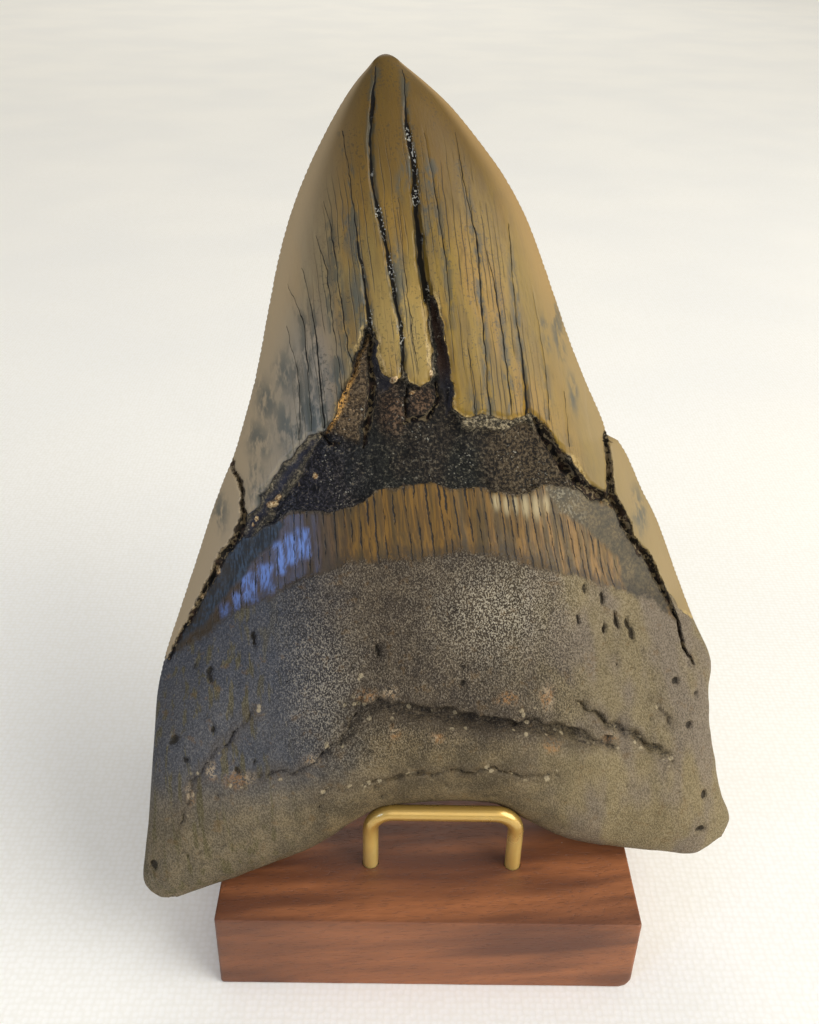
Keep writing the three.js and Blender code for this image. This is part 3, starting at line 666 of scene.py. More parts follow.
# furrows across the root, of which the second is the deep one
FURROWS = [
    [(-39.0, 10.8, 0.4), (-26.5, 12.2, 0.7), (-18.5, 16.2, 0.8), (-15.2, 19.6, 0.8), (-14.0, 21.8, 1.1)],
    [(-15.5, 22.8, 1.2), (-10.1, 22.3, 2.6), (-0.8, 20.1, 2.5), (8.6, 17.3, 2.4), (18.2, 15.3, 3.0),
     (26.0, 12.0, 2.6), (33.9, 8.6, 1.4), (37.0, 7.0, 0.4)],
    [(28.4, 18.0, 0.4), (30.0, 16.7, 1.2), (36.4, 10.9, 2.1), (42.2, 6.9, 1.7), (47.4, 2.6, 0.5)],
    [(-24.0, 6.4, 0.3), (-21.3, 7.8, 0.5), (-4.1, 8.7, 0.7), (7.4, 8.2, 0.6), (23.2, 4.3, 0.3)],
    [(-33.6, 24.0, 0.3), (-38.0, 20.4, 0.6), (-42.2, 17.2, 0.5), (-47.7, 10.3, 0.5), (-50.6, 2.7, 0.3)],
    [(44.5, 15.4, 0.4), (46.1, 12.2, 0.6), (47.4, 10.4, 0.4)],
    [(-12.2, 29.0, 0.3), (-13.4, 24.6, 0.7), (-14.6, 21.0, 0.7)],
]
# pits and slits in the root: across, up, reach across and reach up, in mm
PITS = [
    (-9.2, 32.7, 0.6, 2.2), (-32.7, 36.9, 0.8, 2.1), (-41.6, 30.9, 0.7, 1.9), (-50.0, 19.4, 1.1, 1.5),
    (33.2, 38.4, 0.7, 1.6), (36.9, 36.6, 0.6, 2.2), (38.9, 32.0, 0.5, 2.6), (41.4, 29.6, 0.7, 3.0),
    (30.9, 32.6, 0.5, 1.6), (36.2, 30.6, 0.5, 2.0), (49.2, 18.6, 1.0, 1.0), (51.3, 9.3, 1.0, 1.4),
    (53.1, -5.6, 1.2, 1.4), (51.8, -13.3, 1.3, 1.0), (-57.0, -4.7, 1.0, 1.2), (-38.5, 12.9, 0.8, 1.0),
    (-41.8, 20.9, 0.8, 1.0), (-48.1, 16.0, 0.8, 0.9), (6.8, 27.5, 0.7, 1.0), (6.0, 24.4, 1.1, 1.2),
]
# how many more small ones are strewn over each face
SMALL_PITS = 150

# blue-grey stains in the enamel: across, up, reach across and reach up, in mm
STAINS = [
    (-24.6, 82.4, 3.0, 5.0), (-20.7, 87.0, 2.2, 5.0), (-27.4, 74.9, 3.0, 4.5), (-22.0, 77.0, 3.0, 6.0),
    (-5.4, 112.0, 1.6, 7.0), (-5.2, 98.5, 1.8, 8.0), (6.4, 122.6, 1.6, 3.6), (4.9, 119.6, 1.3, 3.0),
    (11.2, 122.0, 1.6, 4.4), (9.6, 114.0, 1.4, 7.0), (17.6, 95.0, 1.0, 4.5), (34.6, 90.0, 1.8, 8.0),
    (36.0, 77.0, 1.4, 5.0), (31.3, 90.0, 1.2, 4.0), (2.6, 103.0, 1.4, 9.0), (-28.5, 66.0, 2.4, 6.0),
    (-36.5, 61.5, 2.0, 5.0), (-16.0, 79.0, 3.0, 6.0), (-11.0, 84.0, 2.2, 6.0), (8.5, 88.0, 1.6, 8.0),
    (48.0, 52.0, 2.0, 6.0),
]
# painted whitish highlights of the lamp at the upper ends of a few pleats, in the same way
PLEAT_GLINTS = [
    (16.6, 58.4, 0.9, 2.0), (18.6, 57.6, 0.8, 2.4), (20.4, 57.4, 0.7, 2.2), (22.4, 56.9, 0.9, 2.7),
    (24.6, 56.3, 1.0, 2.9), (26.8, 56.6, 0.8, 2.2),
]
# dark smooth faces inside the break, one beside the left cleft and one in the widest crack
BROKEN_FACES = [
    [(-3.3, 93.0), (-1.9, 87.0), (-0.4, 82.8), (-2.6, 81.2), (-4.2, 82.4), (-4.3, 88.0)],
    [(8.6, 101.0), (9.6, 96.0), (10.6, 88.0), (10.9, 78.0), (9.2, 74.5), (8.6, 80.0), (8.3, 88.0),
     (8.1, 95.0)],
]
# outline of the brown chunk left standing beside the left cleft
CHUNK = [
    (-14.4, 74.6), (-13.0, 77.6), (-8.9, 84.6), (-6.0, 89.6), (-4.2, 92.4), (-5.0, 86.0), (-6.0, 80.0),
    (-6.9, 75.6), (-8.4, 72.2), (-11.2, 74.4),
]
# brown chunks left standing under the tongues, in the same way as the stains
LUMPS = [(-1.4, 77.6, 2.8, 5.0), (4.4, 79.0, 3.0, 2.9)]
# strips that mirror the blue light and carry its painted blue reflection: left and right end, low and high
# end in mm
SKY_STRIPS = [
    (-22.2, -19.7, 51.4, 57.6), (-24.5, -22.5, 50.2, 57.0), (-26.8, -24.9, 48.6, 55.4),
    (-30.2, -27.4, 46.0, 51.4), (-33.8, -30.9, 43.6, 49.8), (-36.2, -34.3, 42.3, 46.2),
    (-38.8, -36.8, 41.4, 44.2),
]
# single light crumbs of enamel that stick in the left break
CRUMBS = [
    (-25.9, 62.6, 1.7, 0.9), (-24.6, 63.8, 0.7, 0.6), (-17.2, 67.3, 0.8, 0.8), (-29.3, 60.2, 0.6, 0.8),
    (-38.2, 50.1, 0.7, 1.0), (-30.4, 58.8, 0.5, 0.6), (-20.6, 65.4, 0.4, 0.4), (-41.8, 45.2, 0.5, 0.7),
    (-0.6, 83.4, 0.8, 0.8), (6.6, 84.0, 0.5, 1.0), (3.0, 81.2, 1.0, 0.4),
]
# pale and ochre crusts on the root
PALE_CRUSTS = [
    (-38.0, 11.3, 3.4, 1.8), (-43.1, 13.7, 1.0, 2.2), (-47.8, 9.4, 1.0, 2.2), (-12.5, 24.5, 2.6, 1.2),
    (-8.0, 24.6, 2.0, 1.0), (14.5, 20.6, 3.0, 1.4), (22.4, 19.6, 1.8, 2.6), (34.3, 9.8, 2.0, 1.0),
    (-0.2, 16.0, 1.4, 1.0), (-7.7, 18.0, 1.2, 1.6), (22.0, 10.6, 2.4, 1.6), (-24.0, 13.6, 2.2, 1.0),
]
# the two paler tongues of enamel over the break, and places where the root carries a painted sheen of
# glinting grains
TONGUES = (3.5, 92.0, 6.0, 11.0)
RIGHT_SHINE = (15.0, 37.0, 11.0, 9.0)
LEFT_SHINE = (-19.0, 27.0, 7.0, 13.0)
LEFT_SHINE_SHARE = 0.45
# how deep the breaks are and how high their rubble stands, in mm
RECESS_DEPTH = 2.0
SHELF_DEPTH = 0.5
LIP_DEPTH = 0.45
CHUNK_HEIGHT = 1.6
LUMP_HEIGHT = 1.5
CRUMB_HEIGHT = 0.6
BROKEN_FACE_DEPTH = 0.55
# long cracks: a fine one, what each further mm of half width adds, and the step in height beside it
CRACK_DEPTH = 0.08
WIDE_CRACK_DEPTH = 2.6
CRACK_STEP = 0.06
# grooves: a depth in mm, and the share of the width that is added to it
SIDE_BREAK_DEPTH = (1.2, 0.35)
CLEFT_DEPTH = (0.8, 0.5)
FURROW_DEPTH = (0.3, 0.55)
# band and root
PLEAT_DEPTH = 0.09
BAND_DEPTH = 0.5
ROLL_HEIGHT = 0.45
PIT_DEPTH = 0.9
BACK_PIT_DEPTH = 1.1
BACK_FOOT_DEPTH = 0.7
# a distance beyond any on the tooth, in mm
FAR = 1e6


def to_segment(x, up, start, end):
    """How far along a straight piece its nearest point lies, 0 to 1, and the distance to it."""
    (x0, up0), (x1, up1) = start[:2], end[:2]
    length = (x1 - x0) ** 2 + (up1 - up0) ** 2
    t = np.clip(((x - x0) * (x1 - x0) + (up - up0) * (up1 - up0)) / length, 0, 1)
    return t, np.hypot(x - x0 - t * (x1 - x0), up - up0 - t * (up1 - up0))


def inside(x, up, outline):
    """Distance in mm to a closed outline, positive inside it."""
    nearest = np.full(x.shape, FAR)
    within = np.zeros(x.shape, bool)
    for (x0, up0), (x1, up1) in zip(outline, outline[1:] + outline[:1]):
        nearest = np.minimum(nearest, to_segment(x, up, (x0, up0), (x1, up1))[1])
        if up0 != up1:
            crosses = (up0 > up) != (up1 > up)
            within ^= crosses & (x < x0 + (up - up0) * (x1 - x0) / (up1 - up0))
    return np.where(within, nearest, -nearest)


def near_route(x, up, route):
    """Distance in mm beyond the edge of a groove, negative inside it, and the groove's half width there."""
    beyond = np.full(x.shape, FAR)
    half = np.ones(x.shape)
    for start, end in zip(route, route[1:]):
        t, distance = to_segment(x, up, start, end)
        here = (start[2] + (end[2] - start[2]) * t) / 2
        closer = distance - here < beyond
        beyond = np.where(closer, distance - here, beyond)
        half = np.where(closer, here, half)
    return beyond, half


def groove(x, up, route, depth, share):
    """How deep a groove cuts: depth plus a share of its width, with steep walls, and its distance."""
    beyond, half = near_route(x, up, route)
    cut = (depth + share * 2 * half) * (1 - ease(beyond / half, -0.75, 0.1))
    return cut, beyond


def ragged(x, up, size, reach, seed):
    """The same places moved about a little, which gives broken edges their ragged line."""
    moved_x = x + reach * swell(x, up, size, seed) + 0.4 * reach * swell(x, up, size / 3, seed + 1)
    moved_up = up + reach * swell(x, up, size, seed + 2) + 0.4 * reach * swell(x, up, size / 3, seed + 3)
    return moved_x, moved_up


def patches(x, up, spots):
    """1 in the middle of soft oval spots, 0 away from them."""
    share = np.zeros(x.shape)
    for spot_x, spot_up, wide, high in spots:
        share = np.maximum(share, 1 - ease(np.hypot((x - spot_x) / wide, (up - spot_up) / high), 0.2, 1.3))
    return share


def glow(x, up, spot):
    """1 in the middle of one spot that fades slowly all round it."""
    spot_x, spot_up, wide, high = spot
    return np.exp(-(((x - spot_x) / wide) ** 2) - ((up - spot_up) / high) ** 2)


def strips(x, up, boxes):
    """1 inside the upright strips, 0 outside, with soft ends."""
    share = np.zeros(x.shape)
    for left, right, low, high in boxes:
        within = np.minimum(np.minimum(x - left, right - x), 0.3 * np.minimum(up - low, high - up))
        share = np.maximum(share, ease(within, -0.15, 0.35))
    return share


def split_enamel(x, up, enamel, routes, marks):
    """Long cracks that run up the enamel: how deep they cut, with their marks."""
    cut = np.zeros(x.shape)
    nearest = np.full(x.shape, FAR)
    marks["aside"], marks["gape"] = np.full(x.shape, 3.0), np.full(x.shape, -1.0)
    dice = np.random.default_rng(9)
    for route in routes:
        low, high = route[0][1], route[-1][1]
        line = smooth_curve([(p[1], p[0]) for p in route])(np.clip(up, low, high))
        half = np.interp(up, [p[1] for p in route], [p[2] / 2 for p in route])
        past = np.maximum(0, np.maximum(low - up, up - high))
        aside = x - line
        distance = np.hypot(aside, past)
        closer = distance < nearest
        nearest = np.where(closer, distance, nearest)
        marks["aside"] = np.where(closer, aside, marks["aside"])
        marks["gape"] = np.where(closer, half - 0.8 * ease(past, 0, 1.2), marks["gape"])
        depth = (CRACK_DEPTH + WIDE_CRACK_DEPTH * np.maximum(0, half - 0.2)) * (1 - ease(past, 0, 1.5))
        cut += depth * (1 - ease(np.abs(aside) - half, -0.1, 0.28)) * ease(enamel, -0.6, 0.2)
        # the enamel stands a little higher on one side of a crack
        share = ease(up, low - 12, low) * (1 - ease(up, low + 0.35 * (high - low), high))
        share *= (enamel > 0) & (np.abs(aside) < 9)
        cut += dice.uniform(-CRACK_STEP, CRACK_STEP) * np.tanh(aside / 0.3) * share
    marks["crack"] = nearest
    return cut


def fine_grain(x, up):
    """Grain of the broken dentine and of the root, in two sizes."""
    return 0.5 * swell(x, up, 1.5, 31) + 0.35 * swell(x, up, 0.9, 32)


def recess_depth(x, up, rag, torn, recess, marks):
    """The break steps down from the enamel over a crumbling shelf, wider at the left."""
    edge_gap = near_route(*rag, [(*p, 0.0) for p in ENAMEL_EDGE])[0]
    left_end = 1 - ease(x, -19, -13)
    under_slab = ease(x, 10.5, 12) * (1 - ease(x, 26, 28.5))
    shelf = 0.4 + 0.6 * swell(x, up, 2.4, 38) + 3.4 * left_end + 1.7 * under_slab
    crust = ease(shelf - edge_gap, -0.2, 0.6) * (recess > 0)
    above_band = up - np.interp(x, *np.array(BAND_TOP).T)
    grain = fine_grain(x, up)
    floor = RECESS_DEPTH + 0.6 * swell(x, up, 4.6, 33) + 0.8 * grain - 0.8 * (1 - ease(above_band, 0.5, 4.0))
    trough = left_end * np.exp(-(((edge_gap - 1.7) / 0.8) ** 2))
    shelf_depth = SHELF_DEPTH + 0.6 * swell(x, up, 1.5, 39) + 0.6 * grain + 0.7 * trough
    shelf_depth += 0.25 * under_slab * np.sin(5 * edge_gap + 2 * swell(x, up, 4.0, 42))
    cut = (floor + (shelf_depth - floor) * crust) * ease(recess, 0.0, 0.5)
    chunk = inside(*rag, CHUNK)
    cut -= ease(chunk, -0.2, 0.9) * (CHUNK_HEIGHT + 0.5 * swell(x, up, 2.0, 34))
    lump = patches(*rag, LUMPS)
    cut -= lump * (LUMP_HEIGHT + 0.8 * swell(x, up, 2.0, 35))
    crumbs = patches(*torn, CRUMBS)
    cut -= CRUMB_HEIGHT * crumbs
    broken_face = np.maximum(*[inside(*rag, outline) for outline in BROKEN_FACES])
    cut += (BROKEN_FACE_DEPTH - 0.15 * np.sin(x)) * ease(broken_face, 0, 1.2) * (1 - crust)
    marks.update(crust=crust, trough=trough, lump=lump, crumbs=crumbs)
    marks.update(chunk=ease(chunk, -0.3, 0.8), broken_face=ease(broken_face, -0.1, 0.5))
    return cut


def open_breaks(x, up, rag, torn, marks):
    """Wide ragged cracks, beside both cutting edges and from the break up into the enamel."""
    cut = np.zeros(x.shape)
    marks["open_break"] = np.full(x.shape, FAR)
    rough_floor = 1 + 0.5 * swell(x, up, 1.5, 41)
    for route in SIDE_BREAKS:
        sink, beyond = groove(*torn, route, *SIDE_BREAK_DEPTH)
        cut += sink * rough_floor
        marks["open_break"] = np.minimum(marks["open_break"], beyond)
    for route in CLEFTS:
        sink, beyond = groove(*rag, route, *CLEFT_DEPTH)
        cut += sink
        marks["open_break"] = np.minimum(marks["open_break"], beyond)
    return cut


def band_depth(x, up, rag, band, marks):
    """The band is pleated into flat strips that spread a little towards the root, and sinks to it."""
    fan = x / (1 + (54 - up) * 0.0035) + 0.25 * swell(x, up, 6.0, 50)
    pleats = 0.5 * fan + 0.0034 * fan * np.abs(fan)
    smooth_ends = np.maximum(inside(*rag, GREY_PATCH), inside(*rag, BLUE_PATCH))
    pleated = ease(band, 0.2, 1.0) * (1 - ease(smooth_ends, -0.8, 0.4))
    above_root = up - np.interp(x, *np.array(BAND_LOW).T)
    marks.update(pleats=pleats, smooth_ends=smooth_ends)
    cut = PLEAT_DEPTH * swell(pleats * 1.1, up * 0.02, 1.0, 52) * pleated
    return cut + BAND_DEPTH * ease(above_root, 0.0, 6.0) * (band > 0)


def root_depth(x, up, rag, root, marks):
    """The root is grainy and swollen, with furrows across it and pits."""
    cut = 0.14 * fine_grain(x, up) + 0.20 * swell(x, up, 2.6, 36) + 0.38 * swell(x, up, 7.0, 37)
    furrow = np.full(x.shape, FAR)
    furrow_place = ragged(x, up, 2.0, 0.75, 60)
    rough_floor = 1 + 0.5 * swell(x, up, 2.2, 61)
    for route in FURROWS:
        sink, beyond = groove(*furrow_place, route, *FURROW_DEPTH)
        cut += sink * rough_floor
        furrow = np.minimum(furrow, beyond)
    main_furrow = np.array(FURROWS[1])
    below = np.interp(x, main_furrow[:, 0], main_furrow[:, 1]) - up
    roll = ease(below, 0.5, 3.0) * (1 - ease(below, 4.0, 10.0)) * ease(28 - np.abs(x - 8), 0, 8)
    cut -= ROLL_HEIGHT * roll

    pit = np.zeros(x.shape)
    dice = np.random.default_rng(3)
    small = [(dice.uniform(-57, 57), dice.uniform(-16, 44), dice.uniform(0.3, 0.6), dice.uniform(0.3, 0.8))
             for _ in range(SMALL_PITS)]
    for pit_x, pit_up, wide, high in PITS + small:
        near = np.hypot((rag[0] - pit_x) / wide, (rag[1] - pit_up) / high)
        pit = np.maximum(pit, (1 - ease(near, 0.35, 1.1)) * min(1.0, max(wide, 0.5 * high) / 0.9))
    under_furrow = ease(below, -0.4, 0.8) * (1 - ease(below, 2.0, 4.6)) * ease(27 - np.abs(x - 6), 0, 10)
    marks.update(furrow=furrow, under_furrow=under_furrow, pit=pit * root)
    marks["pale_crust"] = patches(*rag, PALE_CRUSTS)
    return root * (cut + PIT_DEPTH * pit)


def front_relief(x, up):
    """How far each point of the front face lies below the plain skin, in mm, and its marks."""
    rag = ragged(x, up, 2.6, 0.55, 20)
    torn = ragged(x, up, 2.4, 0.38, 90)
    recess = inside(*rag, ENAMEL_EDGE + BAND_TOP[::-1])
    band = inside(*rag, BAND_LEFT_END + BAND_TOP + BAND_RIGHT_END + BAND_LOW[::-1])
    crown_line = np.interp(rag[0], *np.array(ENAMEL_FOOT).T)
    enamel = np.where(recess > 0, -recess, np.minimum(-recess, rag[1] - crown_line))
    enamel = np.where(band > 0, np.minimum(enamel, -band), enamel)
    root = ease(-enamel, 0.2, 1.0) * ease(-band, 0.0, 0.8) * (recess < 0)
    lip = (1 - ease(-recess, 0, 1.0)) * (recess <= 0) * (enamel > 0)

    marks = {"recess": recess, "band": band, "enamel": enamel}
    cut = recess_depth(x, up, rag, torn, recess, marks) + LIP_DEPTH * lip
    cut += split_enamel(*ragged(x, up, 2.2, 0.16, 40), enamel, CRACKS, marks)
    cut += open_breaks(x, up, rag, torn, marks)
    cut += band_depth(x, up, rag, band, marks)
    cut += root_depth(x, up, rag, root, marks)
    marks.update(
        stain=patches(*rag, STAINS),
        bloom=patches(x, up, PLEAT_GLINTS),
        sky_strips=strips(*torn, SKY_STRIPS),
        tongues=glow(x, up, TONGUES),
        shine=np.maximum(glow(x, up, RIGHT_SHINE), LEFT_SHINE_SHARE * glow(x, up, LEFT_SHINE)),
        grained=ease(x, -34, -20) * (1 - ease(x, 24, 34)) * ease(up, 8, 18),
    )
    return cut, marks


# the outer face has no band: its enamel reaches the root in a low arch
BACK_ENAMEL_FOOT = 35.5
BACK_ARCH = 11
BACK_GRAINED = 0.4
BACK_CRACKS = [
    [(-21.0, 40.0, 0.5), (-17.0, 70.0, 0.6), (-11.0, 100.0, 0.4), (-6.0, 118.0, 0.2)],
    [(3.0, 36.0, 0.7), (4.6, 66.0, 0.6), (6.0, 104.0, 0.5), (6.4, 134.0, 0.2)],
    [(24.0, 37.0, 0.5), (22.0, 60.0, 0.5), (19.0, 92.0, 0.4), (16.6, 110.0, 0.2)],
    [(-34.0, 36.0, 0.5), (-30.0, 52.0, 0.4), (-27.0, 70.0, 0.2)],
    [(37.0, 35.0, 0.4), (34.0, 54.0, 0.4), (31.0, 76.0, 0.2)],
]
BACK_STAINS = [
    (-20.0, 60.0, 4.0, 9.0), (-26.0, 46.0, 3.0, 5.0), (13.0, 88.0, 3.0, 10.0), (30.0, 50.0, 4.0, 7.0),
    (-9.0, 104.0, 2.4, 8.0), (21.0, 70.0, 2.0, 8.0), (3.0, 48.0, 3.0, 6.0), (-38.0, 38.0, 3.0, 4.0),
]


def back_relief(x, up):
    """The same for the outer face. A mark that it leaves out is 0 all over it."""
    rag_x, rag_up = ragged(x, up, 5.2, 1.2, 80)
    arch = BACK_ENAMEL_FOOT - BACK_ARCH * (np.abs(rag_x) / 52) ** 1.6
    enamel = rag_up - arch + 0.9 * swell(x, up, 11.0, 85)
    away = np.full(x.shape, 9.0)
    marks = {"recess": -away, "band": -away, "smooth_ends": -away, "open_break": away, "furrow": away}
    grain = 0.5 * swell(x, up, 2.2, 81) + 0.3 * swell(x, up, 1.4, 82)
    root = ease(-enamel, 0.0, 0.8)
    cut = root * (0.3 * grain + 0.4 * swell(x, up, 8.0, 83))
    cut += BACK_FOOT_DEPTH * root * (1 - ease(-enamel, 2.0, 7.0))
    cut += split_enamel(*ragged(x, up, 3.0, 0.25, 84), enamel, BACK_CRACKS, marks)
    pit = np.zeros(x.shape)
    dice = np.random.default_rng(6)
    for _ in range(SMALL_PITS):
        wide = dice.uniform(0.7, 1.5)
        near = np.hypot(rag_x - dice.uniform(-56, 56), rag_up - dice.uniform(-15, 34)) / wide
        pit = np.maximum(pit, (1 - ease(near, 0.3, 1.1)) * min(1.0, wide / 1.3))
    cut += BACK_PIT_DEPTH * pit * root
    grained = np.full(x.shape, BACK_GRAINED)
    marks.update(enamel=enamel, pit=pit * root, stain=patches(rag_x, rag_up, BACK_STAINS), grained=grained)
    return cut, marks


# enamel
GREY_ENAMEL, GOLD_ENAMEL, BRIGHT_GOLD = paint(111, 99, 67), paint(129, 102, 25), paint(146, 108, 30)
DARK_STREAK, THIN_STREAK = paint(84, 66, 34), paint(66, 54, 28)
PALE_TONGUE, BROWN_TIP = paint(166, 141, 80), paint(84, 62, 18)
GREY_LOW_LEFT, LEFT_FLANK_SHEEN, RIGHT_FLANK_SHEEN = paint(118, 121, 119), paint(147, 132, 106), paint(128, 108, 58)
EDGE_SHEEN_PALE, EDGE_SHEEN_GOLD = paint(164, 142, 106), paint(158, 128, 80)
DARK_FLECK, BLUE_GREY_STAIN, HAIRLINE = paint(54, 48, 34), paint(60, 70, 68), paint(50, 41, 24)
CRACK_SOAK, CRACK_SHADE, WHITE_CRUMB = paint(56, 60, 52), paint(9, 8, 6), paint(186, 184, 172)
GOLD_RIM, GREY_RIM = paint(178, 152, 96), paint(80, 80, 68)
# how far the flanks lean in, in mm across for each mm up
FLANK_LEAN = 0.22
# band
BROWN_BAND, GOLD_BAND, BAND_STREAK = paint(76, 58, 20), paint(112, 80, 22), paint(48, 35, 16)
DULL_BAND_RIGHT, PALE_BAND_RIGHT, GREY_BAND_LEFT = paint(98, 80, 44), paint(134, 102, 54), paint(62, 54, 46)
SKY_REFLECTION_BLUE, PLEAT_BLACK, WHITE_PLEAT_GLINT = paint(96, 124, 184), paint(14, 11, 7), paint(170, 154, 114)
BAND_FOOT = paint(46, 38, 25)
DARK_RIGHT_END, PALE_RIGHT_END = paint(80, 71, 50), paint(102, 88, 60)
DARK_LEFT_END, BLUE_LEFT_END, GREY_LEFT_END = paint(26, 32, 38), paint(54, 68, 84), paint(50, 48, 44)
END_GRIT, END_GLINT = paint(40, 38, 32), paint(180, 170, 142)
# broken recess
GREEN_DENTINE, BROWN_DENTINE = paint(40, 40, 32), paint(54, 46, 35)
BLUE_DENTINE, WARM_DENTINE = paint(40, 43, 60), paint(100, 83, 58)
BLACK_GRIT, LIGHT_GRIT, WHITE_SPARKLE = paint(10, 10, 9), paint(122, 112, 90), paint(190, 184, 164)
BROWN_SHELF, PALE_SHELF, SHELF_GAP = paint(92, 82, 60), paint(196, 178, 140), paint(18, 16, 12)
SHELF_GRIT, SHELF_LIGHT = paint(26, 24, 19), paint(168, 158, 130)
SHELF_LEFT, SHELF_TROUGH = paint(46, 46, 44), paint(48, 50, 64)
BROWN_CHUNK, PALE_CHUNK, CHUNK_GAP, LIT_CHUNK_EDGE = (
    paint(70, 56, 40), paint(160, 134, 98), paint(18, 15, 11), paint(236, 178, 92))
DARK_LUMP, BROWN_LUMP = paint(36, 28, 20), paint(112, 86, 62)
BROWN_FACE, BLUE_FACE = paint(66, 47, 37), paint(60, 58, 62)
DEEP_SHADE, DEEP_BROWN, DEEP_GRIT, DEEP_CRUMB = (
    paint(10, 8, 7), paint(74, 54, 40), paint(12, 10, 8), paint(170, 150, 112))
BROWN_CRUMB, PALE_CRUMB = paint(150, 112, 70), paint(232, 206, 158)
# root
DARK_ROOT, BROWN_ROOT = paint(66, 56, 43), paint(90, 78, 60)
OLIVE_LOW_ROOT, PALE_LOW_ROOT, GREY_LOW_LEFT_ROOT = paint(82, 70, 47), paint(112, 96, 66), paint(122, 112, 92)
COOL_REFLECTION_ROOT, OLIVE_STREAK = paint(62, 68, 78), paint(84, 76, 44)
LIT_RIGHT_ROOT_GREY, LIT_RIGHT_ROOT_OLIVE = paint(130, 116, 96), paint(140, 124, 88)
DARK_GRAIN, LIGHT_GRAIN, OCHRE, ROOT_GLINT = (
    paint(32, 27, 20), paint(172, 158, 132), paint(104, 78, 40), paint(188, 178, 154))
PALE_CRUST, BROWN_CRUST = paint(188, 166, 132), paint(150, 108, 62)
FURROW_SHADOW, FURROW_BROWN, FURROW_SHADE, FURROW_GRAIN = (
    paint(46, 38, 29), paint(72, 60, 44), paint(26, 21, 14), paint(176, 160, 126))
PIT_BROWN = paint(33, 27, 16)


